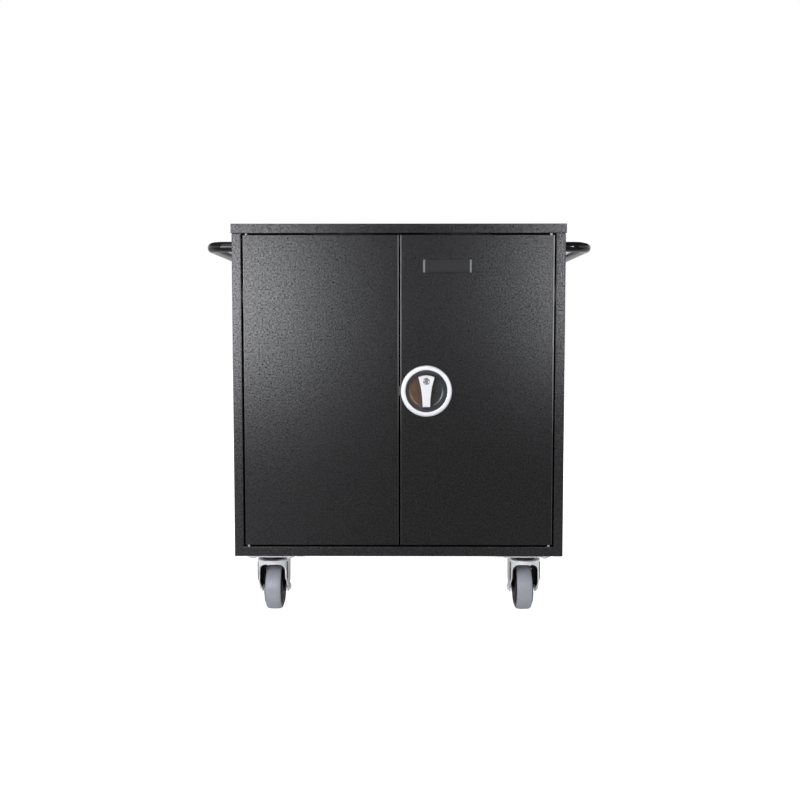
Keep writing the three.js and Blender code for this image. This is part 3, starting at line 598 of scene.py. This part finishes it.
def door_pan(node, open_way):
    x0, x1, y0, y1, z0, z1 = door_span(node)
    bm = bmesh.new()
    block(bm, x0, x1, y0, y1, z0, z1)
    bm.normal_update()
    bmesh.ops.delete(bm, geom=[f for f in bm.faces if f.normal.y * open_way > 0.9], context="FACES")
    ease(bm, creases(bm), crisp, 3)
    return bm


def pin_holes(bm, door, radius):
    for end in ("top", "bottom"):
        x0, x1, y0, y1, z0, z1 = span(f"{door}_{end}_pin")
        door_end = span(door)[5 if end == "top" else 4]
        round_window(bm, ((x0 + x1) / 2, (y0 + y1) / 2, door_end), "z", radius, 4.35, 24)


def tongue_window(bm, edge, room):
    y0, y1, z0 = span("lock_tongue")[2:5]
    window(bm, edge - 1, edge + 1, y0 - room, y1 + room, z0 - room, z0 + 12 + room)


def left_door():
    bm = door_pan("left_door", 1)
    pin_holes(bm, "left_door", 4.3)
    tongue_window(bm, door_span("left_door")[1], keeper_slack)
    out_to(bm, -AXIS["y"])
    # Painted highlights: left and right give the pale colour along the door's two upright folds
    put(bm, "left_door", powder_coat("left_door_coat", door="left_door", left=0.12, right=0.2), sheet)


def right_door():
    x0, x1, y0, y1, z0, z1 = span("right_door")
    bm = door_pan("right_door", 1)
    pin_holes(bm, "right_door", 4.3)
    tongue_window(bm, x0, slack)
    for rod, end, near, far in (("upper", z1, 9, 21.6), ("lower", z0, -21.6, -9)):
        y2, y3 = span(rod + "_lock_rod")[2:4]
        window(bm, lock.x + near, lock.x + far, y2 - slack, y3 + slack, end - 1, end + 1)
    round_window(bm, (lock.x, y0, lock.z), "y", 46.8, 54, 64)
    out_to(bm, -AXIS["y"])
    # Painted highlights: left and right give the pale colour along the door's two upright folds
    put(bm, "right_door", powder_coat("right_door_coat", door="right_door", left=0.22, right=0.34), sheet)


def rear_door():
    x0, x1, y0, y1, z0, z1 = span("rear_door")
    bm = door_pan("rear_door", -1)
    pin_holes(bm, "rear_door", 2.9)
    for row in range(6):
        z = z1 - 50 - 16 * row
        for x in (-160, 160):
            window(bm, x - 75, x + 75, y1 - 1, y1 + 1, z - 2.5, z + 2.5)
    round_window(bm, (rear_lock.x, y1, rear_lock.z), "y", 8.3, 12, 32)
    out_to(bm, AXIS["y"])
    put(bm, "rear_door", coat, sheet)


def hinge_pin(node, collared):
    x0, x1, y0, y1, z0, z1 = span(node)
    up = 1 if node.endswith("top_pin") else -1
    tip, head = (z0, z1) if up > 0 else (z1, z0)
    profile = [(0, 0), (2, 0), (2.5, 0.6), (2.5, 10.3)]
    if collared:
        profile += [(4.8, 10.3), (4.8, 13.7), (2.5, 13.7)]
    end = abs(head - tip)
    profile += [(2.5, end - 2), (4.6, end - 2), (5, end - 1.6), (4.2, end - 0.3), (0, end)]
    bm = bmesh.new()
    spun(bm, [(r, up * h) for r, h in profile], "z", ((x0 + x1) / 2, (y0 + y1) / 2, tip), 24, closed=False)
    put(bm, node, steel, rounding=0)


def hinge_bush(node):
    x0, x1, y0, y1, z0, z1 = span(node)
    up = 1 if node.endswith("top_bush") else -1
    foot, reach = (z0, z1 - z0) if up > 0 else (z1, z1 - z0)
    profile = [(2.8, 0), (3.6, 0), (4, 0.5), (4, reach - 0.4), (3.6, reach), (2.8, reach)]
    bm = bmesh.new()
    spun(bm, [(r, up * h) for r, h in profile], "z", ((x0 + x1) / 2, (y0 + y1) / 2, foot), 24)
    put(bm, node, bush_nylon, rounding=0)


def strike_plate():
    x0, x1, y0, y1, z0, z1 = span("strike_plate")
    bm = bmesh.new()
    block(bm, x0, x1, y0, y1, z0, z1)
    ease(bm, [e for e in bm.edges if abs((e.verts[0].co - e.verts[1].co).x) > 1], 2.5, 4)
    y2, y3, z2 = span("lock_tongue")[2:5]
    window(bm, x0 - 1, x1 + 1, y2 - keeper_slack, y3 + keeper_slack, z2 - keeper_slack, z2 + 12 + keeper_slack)
    rims = [e for e in bm.edges if e.is_boundary]
    bmesh.ops.bridge_loops(bm, edges=rims)
    put(bm, "strike_plate", powder_coat("strike_coat", 0.22), rounding=0.25)


def name_plate():
    x0, x1, y0, y1, z0, z1 = span("name_plate")
    bm = bmesh.new()
    block(bm, x0, x1, y0, y1, z0, z1)
    ease(bm, [e for e in bm.edges if abs((e.verts[0].co - e.verts[1].co).y) > 1], 3, 5)
    bm.normal_update()
    face = [f for f in bm.faces if f.normal.y < -0.9]
    bmesh.ops.inset_region(bm, faces=face, thickness=1.2, use_even_offset=True)
    bmesh.ops.inset_region(bm, faces=face, thickness=0.5, depth=-0.8, use_even_offset=True)
    # Painted highlight: the vertices of the two end bars are marked to be painted pale
    painted_highlight = bm.verts.layers.float.new("painted_highlight")
    for a, b in ((x0 + 0.4, x0 + 5), (x1 - 4.4, x1 - 0.4)):
        for vert in block(bm, a, b, y0, y0 + 1.2, z0 + 0.8, z1 - 0.8):
            vert[painted_highlight] = 1
    put(bm, "name_plate", plate_coat, rounding=0.3)


# Lock

def lock_rosette():
    x0, x1, y0, y1, z0, z1 = span("lock_rosette")
    profile = [(5.3, y1 - 1.5), (33, y1 - 1.5), (35.2, y1 - 1.8), (36.6, y1 - 2.8), (37.6, y1 - 3.2),
               (38.6, y1 - 4.6), (44.4, y0 + 2), (44.8, y0 + 1), (45.6, y0 + 0.3), (46.6, y0), (51.2, y0),
               (52.8, y0 + 0.4), (54.1, y0 + 1.4), (54.8, y0 + 3), (54.8, y0 + 4.2), (46.5, y0 + 4.2),
               (38.5, y1), (5.3, y1)]
    bm = bmesh.new()
    spun(bm, profile, "y", (lock.x, 0, lock.z), 96)
    put(bm, "lock_rosette", satin, rounding=0)


def turn_handle():
    x0, x1, y0, y1, z0, z1 = span("turn_handle")
    top, foot, rise, crown = (x1 - x0) / 2, 8.1, z1 - z0, 4
    side = [(foot + (top - foot) * (i / 10) ** 2, z0 + i / 10 * (rise - crown)) for i in range(11)]
    arch = [(top * u / 6, z1 - crown * (u / 6) ** 2) for u in range(5, -6, -1)]
    outline = side + arch + [(-x, z) for x, z in reversed(side)]
    bm = bmesh.new()
    rim = path(bm, [(lock.x + x, y1, z) for x, z in outline], closed=True)
    face = bmesh.ops.contextual_create(bm, geom=rim)["faces"]
    raised = bmesh.ops.extrude_face_region(bm, geom=face)["geom"]
    bmesh.ops.translate(bm, vec=(0, y0 - y1, 0), verts=[g for g in raised if isinstance(g, bmesh.types.BMVert)])
    bmesh.ops.recalc_face_normals(bm, faces=bm.faces)
    bm.normal_update()
    front = next(f for f in bm.faces if f.normal.y < -0.9)
    ease(bm, list(front.edges), 1.3, 4)
    key = centre_of("key_cylinder")
    round_window(bm, (lock.x, y0, key.z), "y", 7.6, 9, 48)
    bore = [e for e in bm.edges if e.is_boundary]
    end = sweep(bm, bore, (0, span("key_cylinder")[3] + 0.2 - y0, 0))
    bmesh.ops.contextual_create(bm, geom=end)
    put(bm, "turn_handle", grip, rounding=0.3)


def slot_rim(bm, x, z):
    """The open edges of a key slot around this place."""
    return [e for e in bm.edges if e.is_boundary and all(
        0.5 < abs(v.co.x - x) < 1 and abs(v.co.z - z) < 3.5 for v in e.verts)
        or e.is_boundary and all(3 < abs(v.co.z - z) < 3.5 and abs(v.co.x - x) < 1 for v in e.verts)]


def key_cylinder():
    x0, x1, y0, y1, z0, z1 = span("key_cylinder")
    x, z, r = (x0 + x1) / 2, (z0 + z1) / 2, (z1 - z0) / 2
    bm = bmesh.new()
    spun(bm, [(0, y1), (r, y1), (r, y0 + 0.8), (r - 0.6, y0 + 0.1), (r - 1.6, y0 + 0.1), (r - 2.1, y0 + 1),
              (r - 2.6, y0 + 1), (r - 3, y0 + 0.3)], "y", (x, 0, z), 48, closed=False)
    rim = [e for e in bm.edges if e.is_boundary and (e.verts[0].co - Vector((x, y0 + 0.3, z))).length < r - 2]
    bmesh.ops.contextual_create(bm, geom=rim)
    window(bm, x - 0.8, x + 0.8, y0, y0 + 0.6, z - 3.2, z + 3.2)
    end = sweep(bm, slot_rim(bm, x, z), (0, 2.4, 0))
    bmesh.ops.contextual_create(bm, geom=end)
    put(bm, "key_cylinder", chrome, rounding=0.15)


def rear_key_lock():
    x0, x1, y0, y1, z0, z1 = span("rear_lock")
    bm = bmesh.new()
    spun(bm, [(0, y0), (7.4, y0), (8, y0 + 0.6), (8, y1 - 7.7), (9, y1 - 7.7), (9, y1 - 1.2), (8.4, y1 - 0.2),
              (6.6, y1), (6.1, y1 - 0.9), (5.6, y1 - 0.9), (5.2, y1 - 0.2)],
         "y", (rear_lock.x, 0, rear_lock.z), 48, closed=False)
    rim = [e for e in bm.edges if e.is_boundary and e.verts[0].co.y > y1 - 1]
    bmesh.ops.contextual_create(bm, geom=rim)
    window(bm, rear_lock.x - 0.8, rear_lock.x + 0.8, y1 - 0.5, y1, rear_lock.z - 3.2, rear_lock.z + 3.2)
    end = sweep(bm, slot_rim(bm, rear_lock.x, rear_lock.z), (0, -2.4, 0))
    bmesh.ops.contextual_create(bm, geom=end)
    put(bm, "rear_lock", chrome, rounding=0.15)


# Castors

def castor_plate(corner):
    x0, x1, y0, y1, z0, z1 = span(corner + "_castor_plate")
    x, y = (x0 + x1) / 2, (y0 + y1) / 2
    under = z1 - 3.5
    bm = bmesh.new()
    block(bm, x0, x1, y0, y1, under, z1)
    ease(bm, [e for e in bm.edges if abs((e.verts[0].co - e.verts[1].co).z) > 1], 9, 6)
    race = [(0, z0), (8, z0), (9, z0 + 0.8), (9, z0 + 4), (6, z0 + 4), (6, under - 11), (22, under - 11),
            (23, under - 10.2), (23, under - 5.5), (29.6, under - 5.5), (30.8, under - 4.8),
            (31.2, under - 3.6), (33.6, under - 1.2), (35, under - 0.4), (36.5, under + 0.2), (0, under + 0.2)]
    spun(bm, race, "z", (x, y, 0), 48, closed=False)
    # Painted shade: the race under the plate is painted near black, for the shaded gap above the fork crown
    painted_shade = bm.verts.layers.float.new("painted_shade")
    for vert in bm.verts:
        vert[painted_shade] = vert.co.z < under - 1.5
    for dx in (-40, 40):
        for dy in (-30, 30):
            bolt(bm, "z", (x + dx, y + dy, under + 0.1), -1, 7.3, 5.4, washer=8.6)
    put(bm, corner + "_castor_plate", zinc, rounding=0.4)


def bolt(bm, axis, centre, way, radius, height, washer):
    """A hexagon nut on a washer, with the rounded end of its bolt."""
    spun(bm, [(0, 0), (washer, 0), (washer, way * 0.9), (0, way * 0.9)], axis, centre, 32, closed=False)
    turn = AXIS[axis].to_track_quat("Z", "Y").to_matrix().to_4x4()
    lower, upper = way * 0.9, way * (height - 1.2)
    bmesh.ops.create_cone(
        bm, cap_ends=True, segments=6, radius1=radius, radius2=radius, depth=abs(upper - lower),
        matrix=Matrix.Translation(Vector(centre) + AXIS[axis] * (lower + upper) / 2) @ turn)
    spun(bm, [(0, upper), (radius * 0.8, upper), (radius * 0.72, upper + way * 0.4),
              (radius * 0.5, upper + way * 0.4), (radius * 0.5, upper + way * 0.8),
              (radius * 0.4, way * height), (0, way * height)],
         axis, centre, 24, closed=False)


def castor_fork(corner):
    node = corner + "_castor_fork"
    x0, x1, y0, y1, z0, z1 = (round(edge, 1) for edge in span(node))
    radius, boss, knee, corner_round = (x1 - x0) / 2, 11, 13, 20
    axle_z, arch, reach = z0 + boss, z1 - 7.5, y1 - y0 - radius
    trail = reach - boss
    bm = bmesh.new()
    quarter = [0, 7, 14, 20.5, 25, 29, 33, 38, 44, 51, 60, 70, 80]
    angles = [radians(t) for t in quarter + [90] + [180 - t for t in reversed(quarter)]]
    round_front = [(-radius * cos(t), -radius * sin(t)) for t in angles]
    legs = [i * reach / 14 for i in range(1, 15)]
    plan = [(-radius, b) for b in reversed(legs)] + round_front + [(radius, b) for b in legs]

    def top_at(b):
        return z1 - max(0, b - radius) * (z1 - axle_z - 2 * boss) / (reach - radius)

    def foot_at(a, b):
        if b < -knee:
            outer = sqrt(radius ** 2 - knee ** 2)
            drop = max(0, abs(a) - outer + corner_round) / corner_round
            return arch - corner_round * (1 - sqrt(max(0, 1 - drop ** 2)))
        if b < trail - boss:
            return axle_z + 30 * (1 - (b + knee) / (trail - boss + knee)) ** 1.5
        return axle_z - sqrt(max(0, boss ** 2 - (b - trail) ** 2))

    rows, lining_rows, wall = 12, 6, 3
    edges = path(bm, [(a, b, 0) for a, b in plan])
    for row in range(rows):
        edges = sweep(bm, edges, (0, 0, 1))
    for vert in bm.verts:
        a, b, share = vert.co.x, vert.co.y, vert.co.z / rows
        vert.co.z = top_at(b) + (foot_at(a, b) - top_at(b)) * share
    shoulder = z1 - 27

    def tuck(verts):
        """Draws the legs in towards the axle."""
        for vert in verts:
            share = max(0, shoulder - vert.co.z) / (shoulder - z0)
            vert.co.x -= (3.5 if vert.co.x > 0 else -3.5) * share ** 1.7

    tuck(bm.verts)
    brim = [e for e in bm.edges if e.is_boundary and all(
        abs(v.co.z - z1) < 0.05 and v.co.y < radius + 0.1 for v in e.verts)]
    ends = [v for v in {v for e in brim for v in e.verts} if sum(e in brim for e in v.link_edges) == 1]
    brim.append(bm.edges.new(ends))
    hole = bmesh.ops.create_circle(bm, segments=32, radius=6.6, matrix=Matrix.Translation((0, 0, z1)))["verts"]
    bmesh.ops.bridge_loops(bm, edges=brim + list({e for v in hole for e in v.link_edges}))
    out_to(bm, -AXIS["y"])
    rim = [e for e in creases(bm, 60) if all(abs(v.co.z - z1) < 0.05 and v.co.y < radius - 8 for v in e.verts)]
    ease(bm, rim, 2.4, 4)
    # Painted shade: near-black sheets behind the wheel and linings inside the legs stand where the fork's
    # opening is in shade
    painted_shade = bm.verts.layers.float.new("painted_shade")
    upright = Matrix.Rotation(pi / 2, 4, "X")
    shade_sheets = [(24.4, 29.9, axle_z - 4, axle_z + 12), (20.8, 31.2, axle_z + 12, axle_z + 40.5),
             (18.4, 33.2, axle_z + 40.5, axle_z + 52), (0, 33.2, axle_z + 52, arch)]
    for clear, edge, low, high in shade_sheets:
        for way in (-1, 1):
            place = Vector((way * (edge + clear) / 2, trail + 6, (low + high) / 2))
            flat = Matrix.LocRotScale(place, None, (edge - clear, 1, high - low)) @ upright
            for vert in bmesh.ops.create_grid(bm, x_segments=1, y_segments=1, size=0.5, matrix=flat)["verts"]:
                vert[painted_shade] = 1
    for way in (-1, 1):
        edges = path(bm, [(way * (radius - wall - 0.3), b, 0) for b in range(-11, 43, 6)])
        shade_lining = {v for e in edges for v in e.verts}
        for row in range(lining_rows):
            edges = sweep(bm, edges, (0, 0, 1))
            shade_lining |= {v for e in edges for v in e.verts}
        for vert in shade_lining:
            low, high = foot_at(vert.co.x, vert.co.y) + 1, arch + 2
            vert.co.z = high + (low - high) * vert.co.z / lining_rows
            vert[painted_shade] = 1
        tuck(shade_lining)
        faces = list({f for v in shade_lining for f in v.link_faces})
        bm.normal_update()
        if faces[0].normal.x * way > 0:
            bmesh.ops.reverse_faces(bm, faces=faces)
    bmesh.ops.translate(bm, vec=((x0 + x1) / 2, y0 + radius, 0), verts=bm.verts)
    put(bm, node, zinc, wall, rounding=0.5)


def axle_bolt(corner):
    node = corner + "_axle_bolt"
    x0, x1, y0, y1, z0, z1 = span(node)
    y, z = (y0 + y1) / 2, (z0 + z1) / 2
    bm = bmesh.new()
    spun(bm, [(0, x0 + 2), (4, x0 + 2), (4, x1 - 2), (0, x1 - 2)], "x", (0, y, z), 24, closed=False)
    for end, way in ((x0 + 4, -1), (x1 - 4, 1)):
        bolt(bm, "x", (end, y, z), way, 7.2, 4, washer=8)
    put(bm, node, zinc, rounding=0.3)


def wheel_hub(corner):
    node = corner + "_wheel_hub"
    x0, x1, y0, y1, z0, z1 = span(node)
    x, y, z = (x0 + x1) / 2, (y0 + y1) / 2, (z0 + z1) / 2
    half = [(35.7, 18.3), (38.6, 18.3), (39, 18.7), (39, 19.5), (38.5, 20), (34.6, 20.3), (33.4, 19.4),
            (20, 19.8), (16, 21), (13.6, 22.6), (12, 23.6), (11.2, 24), (4.3, 24)]
    bm = bmesh.new()
    spun(bm, [(a, -b) for a, b in reversed(half)] + half, "x", (x, y, z), 64)
    for i in range(8):
        turn = 2 * pi * i / 8
        for side in (-1, 1):
            rib = block(bm, x + side * 19, x + side * 20.6, -1.2, 1.2, 15, 34)
            bmesh.ops.rotate(bm, verts=rib, cent=(0, 0, 0), matrix=Matrix.Rotation(turn, 3, "X"))
            bmesh.ops.translate(bm, verts=rib, vec=(0, y, z))
    put(bm, node, hub_plastic, rounding=0.3)


def tyre(corner):
    node = corner + "_tyre"
    x0, x1, y0, y1, z0, z1 = span(node)
    x, y = (x0 + x1) / 2, (y0 + y1) / 2
    z, r, w = 50, 50, (x1 - x0) / 2
    crown = [(r, 0), (r, w * 0.4), (r - 0.3, w * 0.52)]
    shoulder = [(r - 7 + 6.5 * cos(radians(a)), w - 6.5 + 6.5 * sin(radians(a))) for a in (20, 35, 50, 65, 80)]
    half = crown + shoulder + [(r - 9, w), (r - 12.6, w - 0.8), (36.1, w - 2)]
    bm = bmesh.new()
    spun(bm, [(a, -b) for a, b in reversed(half[1:])] + half, "x", (x, y, z), 96)
    # Painted shade: the side wall vertices are marked to be painted near black
    wall = bm.verts.layers.float.new("wall")
    for vert in bm.verts:
        vert[wall] = abs(vert.co.x - x) > w - 0.9
    put(bm, node, rubber, rounding=0)


# Everything in its place

for side in ("left", "right"):
    side_panel(side)
    push_handle(side)
base_tray()
top_lid()
middle_shelf()
left_door()
right_door()
rear_door()
for door in ("left_door", "right_door", "rear_door"):
    for end in ("top", "bottom"):
        hinge_pin(f"{door}_{end}_pin", door == "rear_door")
        if door != "rear_door":
            hinge_bush(f"{door}_{end}_bush")
strike_plate()
name_plate()
lock_rosette()
turn_handle()
key_cylinder()
rear_key_lock()
for corner in ("front_left", "front_right", "rear_left", "rear_right"):
    castor_plate(corner)
    castor_fork(corner)
    axle_bolt(corner)
    wheel_hub(corner)
    tyre(corner)
for node, finish in (("charger_partition", coat), ("lower_divider_rack", coat), ("upper_divider_rack", coat),
                     ("lower_power_strip", strip_plastic), ("upper_power_strip", strip_plastic),
                     ("lower_strip_switch", rocker_plastic), ("upper_strip_switch", rocker_plastic),
                     ("power_inlet", strip_plastic), ("lock_pinion", steel), ("lock_case", steel),
                     ("upper_lock_rod", zinc), ("lower_lock_rod", zinc), ("lock_tongue", zinc),
                     ("rear_lock_cam", zinc)):
    eased(node, finish)


# Studio

scene = bpy.context.scene
scene.view_settings.view_transform = "Standard"

lens = bpy.data.cameras.new("camera")
lens.sensor_width, lens.lens, lens.clip_end = 36, 45, 100
camera = bpy.data.objects.new("camera", lens)
camera.location = (0.0172, -2.4675, 0.6165)
camera.rotation_euler = (pi / 2 - 0.0654, 0, 0.0066)
scene.collection.objects.link(camera)
scene.camera = camera


def lamp(name, place, aim, width, height, watts):
    light = bpy.data.lights.new(name, "AREA")
    light.shape, light.size, light.size_y, light.energy = "RECTANGLE", width, height, watts
    light.color = (0.985, 0.985, 1.03)
    holder = bpy.data.objects.new(name, light)
    holder.location = place
    holder.rotation_euler = (Vector(aim) - Vector(place)).to_track_quat("-Z", "Y").to_euler()
    holder.visible_camera = False
    scene.collection.objects.link(holder)


lamp("left_softbox", (-1.02, -2.29, 0.785), (0, -0.33, 0.5), 1.2, 0.72, 24.6)
lamp("right_softbox", (0.74, -2.29, 0.88), (0, -0.33, 0.5), 0.2, 0.72, 6.1)
lamp("high_softbox", (-0.7, -2.1, 2.5), (0, -0.2, 0.7), 1.6, 2.0, 14)
lamp("rear_softbox", (0.9, 2.8, 2.2), (0, 0, 0.5), 2.4, 1.6, 40)

world = bpy.data.worlds.new("studio")
world.use_nodes = True
scene.world = world
air = Nodes(world.node_tree)
air.tree.nodes.clear()
rays = air.add("ShaderNodeLightPath", out="Is Camera Ray")
seen = rays.math("MAXIMUM", rays.out("Is Glossy Ray"), rays.out("Is Transmission Ray"))
seen = rays.math("MAXIMUM", rays, seen)
white = air.add("ShaderNodeBackground", {}, {"Color": (1, 1, 1, 1), "Strength": 1.0})
fill = air.add("ShaderNodeBackground", {}, {"Color": (1, 1, 1, 1), "Strength": 0.37})
way = air.add("ShaderNodeTexCoord", out="Generated")
height = air.add("ShaderNodeSeparateXYZ", {}, {0: way}, "Z")
dusk = air.add("ShaderNodeMapRange", {"interpolation_type": "SMOOTHSTEP"}, {
    "Value": height, "From Min": 0.15, "From Max": 0.5, "To Min": 1.0, "To Max": 0.08})
mirrored = air.add("ShaderNodeBackground", {}, {"Color": (1, 1, 1, 1), "Strength": dusk})
open_air = air.add("ShaderNodeMixShader", {}, {0: rays, 1: mirrored, 2: white})
shade = air.add("ShaderNodeMixShader", {}, {0: seen, 1: fill, 2: open_air})
air.tree.links.new(shade.socket, air.tree.nodes.new("ShaderNodeOutputWorld").inputs["Surface"])

bm = bmesh.new()
bmesh.ops.create_grid(bm, x_segments=1, y_segments=1, size=15)
mesh = bpy.data.meshes.new("floor")
bm.to_mesh(mesh)
bm.free()
floor = bpy.data.objects.new("floor", mesh)
scene.collection.objects.link(floor)
paper = bpy.data.materials.new("floor_paper")
paper.use_nodes = True
paper_nodes = Nodes(paper.node_tree)
paper_nodes.tree.nodes.clear()
ray = paper_nodes.add("ShaderNodeLightPath", out="Is Camera Ray")
ray = ray * 0.9 + (ray.out("Is Glossy Ray") + ray.out("Is Transmission Ray")) * 0.2
lit = paper_nodes.add("ShaderNodeBsdfDiffuse", {}, {"Color": (0.9, 0.9, 0.9, 1)})
glow = paper_nodes.add("ShaderNodeEmission", {}, {"Color": (1, 1, 1, 1), "Strength": ray})
both = paper_nodes.add("ShaderNodeAddShader", {}, {0: lit, 1: glow})
paper_nodes.tree.links.new(
    both.socket, paper_nodes.tree.nodes.new("ShaderNodeOutputMaterial").inputs["Surface"])
floor.data.materials.append(paper)

# Dark cloths behind the camera and on the floor before it, which only mirrored light meets
cloth = bpy.data.materials.new("dark_cloth")
cloth.use_nodes = True
cloth.node_tree.nodes["Principled BSDF"].inputs["Base Color"].default_value = (0.2, 0.2, 0.2, 1)


def dark_cloth(name, place, turn, size):
    bm = bmesh.new()
    bmesh.ops.create_grid(bm, x_segments=1, y_segments=1, size=size, matrix=Matrix.Rotation(turn, 4, "X"))
    bmesh.ops.translate(bm, vec=place, verts=bm.verts)
    mesh = bpy.data.meshes.new(name)
    bm.to_mesh(mesh)
    bm.free()
    hung = bpy.data.objects.new(name, mesh)
    hung.visible_camera = hung.visible_diffuse = hung.visible_shadow = hung.visible_transmission = False
    scene.collection.objects.link(hung)
    hung.data.materials.append(cloth)
    return hung


dark_cloth("dark_screen", (0, -5.2, 3), -pi / 2, 4.5)
dark_cloth("dark_floor_cloth", (0, -3.1, 0.002), 0, 2.74)
